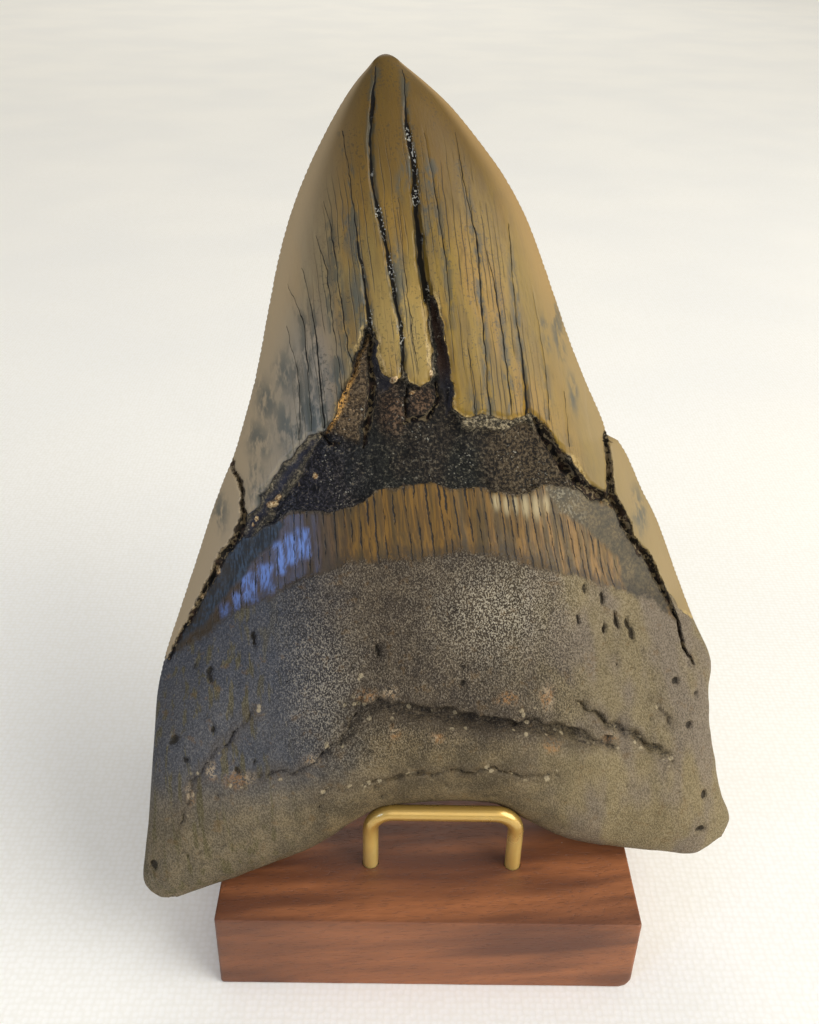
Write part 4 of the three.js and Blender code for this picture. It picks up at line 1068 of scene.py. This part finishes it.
class ToothFinish(Finish):
    """Finish of the whole tooth. Enamel, band, broken recess and root share its random patterns."""

    def __init__(self):
        super().__init__("fossil_enamel_and_root")
        self.place = self.add("Attribute", attribute_name="own_place").outputs["Vector"]
        across, deep, up = self.axes(self.place)
        self.inner_face = self.step(deep, 1.5 * MM, -1.5 * MM)
        self.x_mm = self.times(across, 1 / MM)
        self.up_mm = self.times(up, 1 / MM)
        self.speckle = self.cloud(0.5, detail=1)
        self.grit = self.cloud(0.62, detail=3, rough=0.7)
        self.uneven = self.cloud(4.0, (1, 1, 0.5))
        self.patchy = self.cloud(9, (1, 1, 0.4), rough=0.6)
        self.mottle = self.cloud(5.0, detail=3, rough=0.65)
        self.clouding = self.cloud(1.5, (1, 1, 0.35), detail=3, rough=0.65)
        self.streak = self.cloud(1.7, (1, 1, 0.06), detail=3, rough=0.6)
        self.fine_streak = self.cloud(0.45, (1, 1, 0.07), rough=0.6)
        self.granule = self.cloud(0.30, (1, 1, 0.8), detail=1, rough=0.7)
        self.crumbling = self.cells(1.0, detail=1.0)
        self.crumb_tone = self.add("SeparateColor", {"Color": self.crumbling["Color"]}).outputs[0]

    def across(self, start, end, low=0.0, high=1.0):
        """A step that runs across the tooth, from start to end in mm."""
        return self.step(self.x_mm, start, end, low, high)

    def upwards(self, start, end, low=0.0, high=1.0):
        """The same up the tooth."""
        return self.step(self.up_mm, start, end, low, high)

    def about_zero(self, pattern, reach):
        """A pattern as an offset in mm to either side."""
        return self.times(self.minus(pattern, 0.5), reach)

    def enamel(self):
        """Golden brown, streaked along its length, greyer and paler on both flanks and along the cutting
        edges as a painted sheen.
        """
        colour = self.blend(self.across(-20.0, 16.0), GREY_ENAMEL, GOLD_ENAMEL)
        colour = self.over(colour, DARK_STREAK, self.step(self.streak, 0.38, 0.62, 0.48, 0.0))
        colour = self.over(colour, BRIGHT_GOLD, self.step(self.patchy, 0.44, 0.64, 0.0, 0.50))
        colour = self.over(colour, THIN_STREAK, self.step(self.fine_streak, 0.54, 0.72, 0.0, 0.35))
        colour = self.over(colour, PALE_TONGUE, self.mark("tongues"), 0.65)
        low_left = self.times(self.across(-7.0, -15.0), self.upwards(106.0, 88.0))
        colour = self.over(colour, GREY_LOW_LEFT, low_left, self.between(self.inner_face, 0.2, 0.65))
        colour = self.over(colour, BROWN_TIP, self.upwards(100.0, 132.0, 0.0, 0.85))
        # the flanks and the cutting edges are painted paler, a painted sheen of the bright room at grazing
        # angles
        left_flank = self.step(self.minus(self.x_mm, self.times(self.up_mm, FLANK_LEAN)), -28.5, -46.0)
        colour = self.over(colour, LEFT_FLANK_SHEEN, left_flank, 0.85)
        right_flank = self.step(self.plus(self.x_mm, self.times(self.up_mm, FLANK_LEAN)), 40.0, 58.0)
        right_flank = self.times(right_flank, self.upwards(122.0, 98.0))
        colour = self.over(colour, RIGHT_FLANK_SHEEN, right_flank, 0.8)
        lane = self.size_of(self.mark("lane"))
        edge_sheen = self.times(self.step(lane, 27.0, 35.0), self.upwards(84.0, 104.0, 0.4, 0.75))
        upper_right = self.times(self.across(2.0, 12.0), self.upwards(80.0, 100.0))
        colour = self.over(colour, self.blend(upper_right, EDGE_SHEEN_PALE, EDGE_SHEEN_GOLD), edge_sheen)
        middle = self.step(lane, 30.0, 20.0)
        flecks = self.times(self.step(self.speckle, 0.58, 0.66), self.step(self.uneven, 0.38, 0.60), middle)
        colour = self.over(colour, DARK_FLECK, flecks, 0.5)
        stained = self.times(self.mark("stain"), self.step(self.clouding, 0.38, 0.58))
        colour = self.over(colour, BLUE_GREY_STAIN, stained, 0.7)
        self.hairlines = self.straight_hairlines(middle)
        colour = self.over(colour, HAIRLINE, self.hairlines, 0.85)
        return self.with_rim(self.with_cracks(colour))

    def straight_hairlines(self, middle):
        """Hairlines between the cracks, each seen only in parts."""
        hair = self.borders(self.plus(self.x_mm, self.times(self.uneven, 1.2)), scale=0.85)
        seen = self.step(self.cloud(2.2, (1, 1, 0.10)), 0.42, 0.54)
        seen = self.times(seen, middle, self.upwards(134.0, 118.0), self.between(self.inner_face, 0.3, 1.0))
        return self.times(self.step(hair, 0.10, 0.03), seen)

    def with_cracks(self, colour):
        """Open cracks painted black inside as painted shade, with blue-grey stain and crumbs along them."""
        crack, gape = self.mark("crack"), self.mark("gape")
        wander = self.about_zero(self.cloud(0.8, (1, 1, 0.4), detail=1), 0.35)
        aside = self.size_of(self.plus(self.mark("aside"), wander))
        edge = self.minus(aside, self.times(gape, self.step(self.uneven, 0.3, 0.7, 0.45, 1.15)))
        near_crack = self.step(crack, 0.9, 0.6)
        self.split = self.times(self.step(edge, 0.05, -0.07), near_crack)
        soak = self.times(self.step(crack, 1.5, 0.3), self.step(self.clouding, 0.43, 0.56))
        soak = self.times(soak, self.step(gape, 0.06, 0.13))
        colour = self.over(colour, CRACK_SOAK, soak, 0.7)
        # painted shade inside the open cracks
        colour = self.over(colour, CRACK_SHADE, self.split, 0.97)
        crumbs = self.times(self.step(edge, 0.45, 0.10), near_crack, self.step(self.speckle, 0.56, 0.62))
        filled = self.times(self.step(gape, 0.22, 0.34), self.upwards(136.0, 127.0))
        filled = self.times(filled, self.step(self.uneven, 0.50, 0.60))
        return self.over(colour, WHITE_CRUMB, self.times(crumbs, filled), 0.85)

    def with_rim(self, colour):
        """Broken rim of the enamel, away from the cracks."""
        rim_width = self.minus(self.mark("enamel"), self.step(self.uneven, 0.4, 0.65, 0.0, 0.9))
        rim = self.times(self.step(rim_width, 0.25, -0.15), self.step(self.grit, 0.40, 0.58, 0.1, 1.0))
        rim = self.times(rim, self.step(self.mark("crack"), 0.9, 1.8))
        return self.over(colour, self.blend(self.across(-12.0, -15.0), GOLD_RIM, GREY_RIM), rim, 0.8)

    def band(self):
        """Flat golden strips with ragged dark lines between them, widest at their upper ends."""
        colour = self.blend(self.step(self.streak, 0.36, 0.64), BROWN_BAND, GOLD_BAND)
        right = self.blend(self.step(self.streak, 0.4, 0.62), DULL_BAND_RIGHT, PALE_BAND_RIGHT)
        colour = self.over(colour, right, self.across(14.0, 30.0, 0.0, 0.8))
        colour = self.over(colour, GREY_BAND_LEFT, self.across(-10.0, -19.0, 0.0, 0.85))
        colour = self.over(colour, BAND_STREAK, self.step(self.fine_streak, 0.42, 0.60, 0.0, 0.50))
        # painted blue reflection of the cool light on the glossy strips
        sky = self.times(self.mark("sky_strips"), self.step(self.fine_streak, 0.62, 0.44, 0.30, 1.0))
        colour = self.over(colour, SKY_REFLECTION_BLUE, sky, 0.85)
        self.ends = self.step(self.mark("smooth_ends"), -0.6, 0.5)
        colour = self.over(colour, self.band_ends(), self.ends)
        jitter = self.times(self.cloud(0.9, (1, 1, 0.5), rough=0.65), 0.36)
        jitter = self.plus(jitter, self.times(self.grit, 0.16))
        pleat = self.borders(self.plus(self.mark("pleats"), jitter), evenness=0.1)
        notched = self.step(self.mark("recess"), -3.2, -0.4, 0.0, 0.05)
        line_width = self.minus(self.step(self.clouding, 0.36, 0.66, 0.0, 0.13), notched)
        pleat_line = self.step(self.plus(pleat, line_width), 0.135, 0.060)
        self.lines = self.times(pleat_line, self.minus(1.0, self.ends))
        colour = self.over(colour, PLEAT_BLACK, self.lines, 0.96)
        # painted highlights of the lamp at the tops of a few pleats
        glinted = self.times(self.mark("bloom"), self.minus(1.0, self.lines))
        glinted = self.times(glinted, self.step(self.fine_streak, 0.28, 0.42))
        colour = self.over(colour, WHITE_PLEAT_GLINT, glinted, 0.75)
        foot = self.step(self.minus(self.mark("band"), self.times(self.uneven, 4.4)), 1.0, -1.6)
        foot = self.times(foot, self.step(self.mark("recess"), -4.0, -7.0))
        foot = self.times(foot, self.step(self.grit, 0.34, 0.60, 1.0, 0.5))
        return self.over(colour, BAND_FOOT, foot, 0.8)

    def band_ends(self):
        """The two ends without pleats, blue-grey at the left and olive at the right."""
        right = self.blend(self.step(self.mottle, 0.40, 0.62), DARK_RIGHT_END, PALE_RIGHT_END)
        left = self.blend(self.step(self.fine_streak, 0.40, 0.60), DARK_LEFT_END, BLUE_LEFT_END)
        left = self.over(left, GREY_LEFT_END, self.step(self.mottle, 0.46, 0.60, 0.0, 0.6))
        colour = self.blend(self.across(-5.0, 5.0), left, right)
        colour = self.over(colour, END_GRIT, self.step(self.grit, 0.40, 0.60, 0.55, 0.0))
        glint = self.times(self.step(self.speckle, 0.54, 0.62), self.across(38.0, 30.0, 0.0, 0.28))
        return self.over(colour, END_GLINT, self.times(glint, self.across(0.0, 10.0)))

    def dentine(self):
        """Dark dentine of the recess, with its shelf, chunk, lumps and sheer faces."""
        crumb_gap = self.step(self.crumbling["Distance"], 0.30, 0.62)
        colour = self.blend(self.step(self.patchy, 0.42, 0.58), GREEN_DENTINE, BROWN_DENTINE)
        colour = self.over(colour, BLUE_DENTINE, self.across(-2.0, -20.0, 0.0, 0.7))
        colour = self.over(colour, WARM_DENTINE, self.across(12.0, 22.0, 0.0, 0.75))
        colour = self.over(colour, BLACK_GRIT, self.step(self.grit, 0.42, 0.58, 0.9, 0.0))
        colour = self.over(colour, LIGHT_GRIT, self.step(self.grit, 0.57, 0.68, 0.0, 0.6))
        colour = self.over(colour, self.shelf(crumb_gap), self.mark("crust"))
        chunk = self.blend(self.step(self.grit, 0.40, 0.62), BROWN_CHUNK, PALE_CHUNK)
        chunk = self.over(chunk, CHUNK_GAP, crumb_gap, 0.5)
        colour = self.over(colour, chunk, self.mark("chunk"))
        lump = self.blend(self.step(self.grit, 0.44, 0.62), DARK_LUMP, BROWN_LUMP)
        colour = self.over(colour, lump, self.mark("lump"))
        bluish = self.most(self.across(6.0, 2.0), self.upwards(86.0, 81.0))
        sheer = self.blend(bluish, BROWN_FACE, BLUE_FACE)
        colour = self.over(colour, sheer, self.mark("broken_face"), 0.85)
        # painted orange highlight along the chunk's edge next to the enamel
        lit_edge = self.times(self.step(self.mark("enamel"), -1.5, -0.4), self.mark("chunk"))
        lit_edge = self.times(lit_edge, self.step(self.grit, 0.40, 0.56))
        colour = self.over(colour, LIT_CHUNK_EDGE, lit_edge, 0.9)
        sparkle = self.times(self.step(self.speckle, 0.66, 0.72), self.step(self.uneven, 0.44, 0.62))
        return self.over(colour, WHITE_SPARKLE, sparkle, 0.6)

    def shelf(self, crumb_gap):
        """Crumbling shelf below the broken enamel, darker at the left and in its trough."""
        colour = self.blend(self.step(self.crumb_tone, 0.30, 0.85), BROWN_SHELF, PALE_SHELF)
        colour = self.over(colour, SHELF_GAP, crumb_gap, 0.4)
        colour = self.over(colour, SHELF_GRIT, self.step(self.grit, 0.44, 0.56, 0.85, 0.0))
        colour = self.over(colour, SHELF_LIGHT, self.step(self.grit, 0.57, 0.66, 0.0, 0.5))
        colour = self.over(colour, SHELF_LEFT, self.across(-12.0, -20.0, 0.0, 0.5))
        return self.over(colour, SHELF_TROUGH, self.mark("trough"), 0.9)

    def deep_break(self):
        """What shows at the bottom of the wide cracks: black painted shade patched with brown, dark grit and
        a few crumbs.
        """
        colour = self.blend(self.step(self.clouding, 0.46, 0.60), DEEP_SHADE, DEEP_BROWN)
        colour = self.over(colour, DEEP_GRIT, self.step(self.grit, 0.42, 0.58, 0.6, 0.0))
        return self.over(colour, DEEP_CRUMB, self.step(self.crumb_tone, 0.96, 0.98), 0.6)

    def root(self):
        """Grainy grey-brown above the furrow, olive below it, bluish at the left from a painted reflection of
        the cool light, and paler at the right from painted light.
        """
        colour = self.blend(self.step(self.mottle, 0.36, 0.64), DARK_ROOT, BROWN_ROOT)
        lower = self.step(self.plus(self.up_mm, self.times(self.x_mm, 0.28)), 22.0, 12.0)
        low_colour = self.blend(self.step(self.mottle, 0.36, 0.66), OLIVE_LOW_ROOT, PALE_LOW_ROOT)
        low_colour = self.over(low_colour, GREY_LOW_LEFT_ROOT, self.across(-18.0, -36.0, 0.0, 0.32))
        colour = self.over(colour, low_colour, lower)
        # painted blue reflection of the cool light on the lower left of the root
        cool_reflection = self.times(self.across(-8.0, -30.0), self.upwards(2.0, 16.0))
        colour = self.over(colour, COOL_REFLECTION_ROOT, cool_reflection, 0.8)
        # the right side of the root is painted paler, painted light from the window at the right
        right = self.blend(self.step(self.patchy, 0.42, 0.60), LIT_RIGHT_ROOT_GREY, LIT_RIGHT_ROOT_OLIVE)
        colour = self.over(colour, right, self.across(10.0, 36.0, 0.0, 0.7))
        olive = self.times(self.across(-24.0, -36.0), self.step(self.streak, 0.52, 0.62))
        colour = self.over(colour, OLIVE_STREAK, olive, 0.7)
        grained = self.mark("grained")
        dark = self.step(self.granule, 0.40, 0.52, 1.0, 0.0)
        colour = self.over(colour, DARK_GRAIN, dark, self.step(grained, 0.0, 1.0, 0.38, 0.64))
        light = self.step(self.granule, 0.56, 0.68)
        colour = self.over(colour, LIGHT_GRAIN, light, self.step(grained, 0.0, 1.0, 0.12, 0.24))
        ochre = self.step(self.cloud(2.6, rough=0.7), 0.60, 0.70)
        colour = self.over(colour, OCHRE, ochre, 0.3)
        # painted glints where the root has its painted sheen
        glint = self.times(self.step(self.granule, 0.48, 0.60), self.mark("shine"))
        colour = self.over(colour, ROOT_GLINT, glint, 0.6)
        crusts = self.times(self.mark("pale_crust"), self.step(self.grit, 0.42, 0.56))
        crust_colour = self.blend(self.step(self.mottle, 0.44, 0.56), PALE_CRUST, BROWN_CRUST)
        return self.with_furrows(self.over(colour, crust_colour, crusts, 0.7))

    def with_furrows(self, colour):
        """Furrows darkened with painted shade and a painted shadow along the main one, pale grains in them,
        and the pits of the root.
        """
        torn = self.about_zero(self.cloud(1.5, detail=3, rough=0.7), 2.4)
        furrow = self.plus(self.mark("furrow"), torn)
        # painted shadow along the lower side of the main furrow
        smudge = self.times(self.mark("under_furrow"), self.step(self.grit, 0.60, 0.42, 0.2, 1.0))
        colour = self.over(colour, FURROW_SHADOW, smudge, 0.42)
        colour = self.over(colour, FURROW_BROWN, self.step(furrow, 2.2, 0.2, 0.0, 0.30))
        # painted shade deep in the furrows
        dark = self.step(furrow, 0.15, -0.6, 0.0, 0.80)
        colour = self.over(colour, FURROW_SHADE, dark, self.step(self.grit, 0.38, 0.56, 1.0, 0.10))
        grains = self.times(self.step(self.mark("furrow"), 1.4, 0.4), self.step(self.mottle, 0.48, 0.54))
        grains = self.times(grains, self.step(self.cells(2.0)["Distance"], 0.29, 0.20))
        colour = self.over(colour, FURROW_GRAIN, grains, 0.6)
        hollow = self.step(self.plus(self.mark("pit"), self.times(self.grit, 0.9)), 0.84, 1.16)
        return self.over(colour, PIT_BROWN, hollow, 0.8)


def fossil_finish():
    """The tooth's finish: which of its colours shows where, how rough each is, and the fine relief."""
    tooth = ToothFinish()
    jag = tooth.about_zero(tooth.cloud(1.1, detail=3, rough=0.7), 2.4)
    in_band = tooth.step(tooth.plus(tooth.mark("band"), jag), -0.6, 0.7)
    in_recess = tooth.step(tooth.plus(tooth.mark("recess"), tooth.times(jag, 0.6)), -0.1, 0.15)
    in_enamel = tooth.step(tooth.plus(tooth.mark("enamel"), tooth.times(jag, 0.35)), -0.10, 0.10)
    deep = tooth.step(tooth.plus(tooth.mark("open_break"), tooth.times(jag, 0.6)), 0.15, -0.25)
    colour = tooth.over(tooth.root(), tooth.band(), in_band)
    colour = tooth.over(colour, tooth.dentine(), in_recess)
    colour = tooth.over(colour, tooth.enamel(), in_enamel)
    colour = tooth.over(colour, tooth.deep_break(), deep, 0.92)
    crumb_colour = tooth.blend(tooth.step(tooth.grit, 0.42, 0.58), BROWN_CRUMB, PALE_CRUMB)
    colour = tooth.over(colour, crumb_colour, tooth.step(tooth.mark("crumbs"), 0.3, 0.7, 0.0, 0.9))

    strip_rough = tooth.between(tooth.across(-14.0, -20.0), tooth.step(tooth.grit, 0.3, 0.7, 0.42, 0.6), 0.27)
    strip_rough = tooth.between(tooth.ends, strip_rough, 0.6)
    roughness = tooth.between(in_band, tooth.step(tooth.granule, 0.4, 0.65, 0.85, 0.55), strip_rough)
    roughness = tooth.between(in_recess, roughness, tooth.step(tooth.grit, 0.5, 0.66, 0.9, 0.4))
    enamel_rough = tooth.between(tooth.split, tooth.step(tooth.fine_streak, 0.3, 0.8, 0.38, 0.50), 0.95)
    roughness = tooth.between(in_enamel, roughness, enamel_rough)
    roughness = tooth.between(deep, roughness, 0.9)

    bare = tooth.minus(1.0, in_enamel)
    on_root = tooth.times(bare, tooth.minus(1.0, tooth.most(in_band, in_recess)))
    grain_depth = tooth.step(tooth.mark("grained"), 0.0, 1.0, 0.2, 0.46)
    on_rubble = tooth.most(tooth.times(in_recess, bare), deep)
    height = tooth.times(tooth.granule, on_root, grain_depth)
    height = tooth.plus(height, tooth.times(tooth.grit, on_rubble, 1.2))
    height = tooth.plus(height, tooth.times(tooth.most(tooth.hairlines, tooth.split), in_enamel, -0.06))
    height = tooth.plus(height, tooth.times(tooth.lines, in_band, bare, -0.14))
    height = tooth.plus(height, tooth.times(tooth.fine_streak, tooth.most(in_enamel, in_band), 0.035))
    return tooth.done(colour, roughness, tooth.relief(height, 1.0), {"Specular IOR Level": 0.32})


# lanes run up the crown between its two cutting edges, this wide from the middle to one edge
LANE_REACH = 36
# marks are kept within this many mm
MARK_REACH = 50


def tooth_faces(numbers, back_numbers, shown_behind):
    """Squares of the fine front grid, and the back's with two grid steps to a side, which share its rim."""
    cells = np.stack([numbers[:-1, :-1], numbers[:-1, 1:], numbers[1:, 1:], numbers[1:, :-1]], -1)
    faces = [tuple(c) for c in cells.reshape(-1, 4).tolist()]
    walk = ((0, 0), (1, 0), (2, 0), (2, 1), (2, 2), (1, 2), (0, 2), (0, 1))
    for j in range(0, ROWS, 2):
        for i in range(0, COLUMNS, 2):
            around = [(j + a, i + b) for a, b in walk]
            faces.append(tuple(int(back_numbers[p]) for p in around if shown_behind[p]))
    return faces


def make_tooth():
    x, up = tooth_grid()
    nick_edges(x, up)
    rim = np.zeros(x.shape, bool)
    rim[0] = rim[-1] = rim[:, 0] = rim[:, -1] = True
    edge = rim_depth(x, up)
    stand, behind = front_stand(x, up), back_stand(x, up)
    front_cut, front_marks = front_relief(x, up)
    back_cut, back_marks = back_relief(x, up)
    front = edge - np.where(rim, 0, np.maximum(stand - front_cut, FRONT_LEFT_OVER * stand))
    back = edge + np.where(rim, 0, np.maximum(behind - back_cut, BACK_LEFT_OVER * behind))
    left, right = left_at(up), right_at(up)
    front_marks["lane"] = back_marks["lane"] = LANE_REACH * (2 * x - left - right) / (right - left)
    kept = np.zeros(x.shape, bool)
    kept[::2, ::2] = True
    kept &= ~rim

    numbers = np.arange(x.size).reshape(x.shape)
    back_numbers = numbers.copy()
    back_numbers[kept] = x.size + np.arange(kept.sum())
    faces = tooth_faces(numbers, back_numbers, kept | rim)
    front_points = np.stack([x, front, up], -1).reshape(-1, 3)
    back_points = np.stack([x, back, up], -1)[kept]
    own = np.concatenate([front_points, back_points]) * MM
    turned = Matrix.Rotation(TURN, 3, "Z") @ Matrix.Rotation(-LEAN_BACK, 3, "X")
    turned = turned @ Matrix.Rotation(-ROLL_LEFT, 3, "Y")
    points = own @ np.array(turned).T + np.array(TOOTH_PLACE)
    tooth = shown_mesh("fossil_tooth", points, faces, fossil_finish(), "tooth", smooth_angle=60)
    own_place = tooth.data.attributes.new("own_place", "FLOAT_VECTOR", "POINT")
    own_place.data.foreach_set("vector", own.astype(np.float32).ravel())
    unmarked = np.zeros(x.shape)
    for name, front_values in front_marks.items():
        values = np.concatenate([front_values.ravel(), back_marks.get(name, unmarked)[kept]])
        mark = tooth.data.attributes.new(name, "FLOAT", "POINT")
        mark.data.foreach_set("value", np.clip(values, -MARK_REACH, MARK_REACH).astype(np.float32))
    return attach(tooth, BODY)


make_tooth()


# Table, lights and camera
# The stand is on a plain pale cloth. A wide soft light comes from the front right, a weaker
# cool one from the left, and the camera looks down at the tooth from the front.

CLOTH_REACH = 6
PALE_CLOTH, GREY_CLOTH, CLOTH_THREAD = paint(253, 250, 241), paint(247, 245, 238), paint(236, 231, 216)
CLOTH_ROUGHNESS = 0.9

AIM = Vector((0, -0.01, 0.07))
FAR_CLOTH = Vector((0, 1.9, 0))
ROOM_COLOUR = (1.0, 0.985, 0.955, 1.0)
ROOM_STRENGTH = 0.45

CAMERA_PLACE = Vector((-7.5, -161.35, 189.7)) * MM
CAMERA_DOWN = math.radians(31.16)
CAMERA_TURN = math.radians(0.83)
CAMERA_ROLL = math.radians(1.41)
CAMERA_LENS = 36.49
CAMERA_NEAR = 10 * MM


def woven_cloth():
    cloth = Finish("pale_cloth")
    tone = cloth.cloud(120)
    weave = cloth.cells(1.3, evenness=0.6)["Distance"]
    colour = cloth.blend(cloth.step(tone, 0.3, 0.7), PALE_CLOTH, GREY_CLOTH)
    colour = cloth.over(colour, CLOTH_THREAD, cloth.step(weave, 0.25, 0.65, 0.0, 0.35))
    return cloth.done(colour, CLOTH_ROUGHNESS, cloth.relief(weave, 0.06))


def lay_cloth():
    mesh = bpy.data.meshes.new("cloth")
    sides = ((-1, -1), (1, -1), (1, 1), (-1, 1))
    mesh.from_pydata([(x * CLOTH_REACH, y * CLOTH_REACH, 0) for x, y in sides], [], [(0, 1, 2, 3)])
    mesh.materials.append(woven_cloth())
    floor = bpy.data.objects.new("cloth", mesh)
    bpy.context.scene.collection.objects.link(floor)


def soft_light(name, place, width, power, colour, aim=AIM):
    lamp = bpy.data.lights.new(name, "AREA")
    lamp.shape = "DISK"
    lamp.size = width
    lamp.energy = power
    lamp.color = colour
    light = bpy.data.objects.new(name, lamp)
    light.location = place
    light.rotation_euler = (aim - Vector(place)).to_track_quat("-Z", "Y").to_euler()
    bpy.context.scene.collection.objects.link(light)


def light_room():
    world = bpy.data.worlds.new("room")
    world.use_nodes = True
    sky = world.node_tree.nodes["Background"].inputs
    sky["Color"].default_value = ROOM_COLOUR
    sky["Strength"].default_value = ROOM_STRENGTH
    bpy.context.scene.world = world
    bpy.context.scene.view_settings.view_transform = "Standard"


def place_camera():
    lens = bpy.data.cameras.new("camera")
    lens.lens = CAMERA_LENS
    lens.clip_start = CAMERA_NEAR
    camera = bpy.data.objects.new("camera", lens)
    camera.location = CAMERA_PLACE
    turned = Matrix.Rotation(-CAMERA_TURN, 3, "Z") @ Matrix.Rotation(math.pi / 2 - CAMERA_DOWN, 3, "X")
    camera.rotation_euler = (turned @ Matrix.Rotation(CAMERA_ROLL, 3, "Z")).to_euler()
    bpy.context.scene.collection.objects.link(camera)
    bpy.context.scene.camera = camera


lay_cloth()
soft_light("window_right", place=(0.95, -0.40, 0.70), width=1.2, power=15.3, colour=(1.0, 0.995, 0.99))
soft_light("room", place=(0.1, -1.1, 0.8), width=1.0, power=2.6, colour=(1.0, 0.96, 0.90))
soft_light("cool_left", place=(-0.53, -0.55, 0.38), width=0.24, power=1.0, colour=(0.25, 0.45, 1.0))
soft_light("far_ceiling", (0.0, 2.1, 1.6), width=1.6, power=13.5, colour=(1.0, 0.985, 0.95), aim=FAR_CLOTH)
light_room()
place_camera()
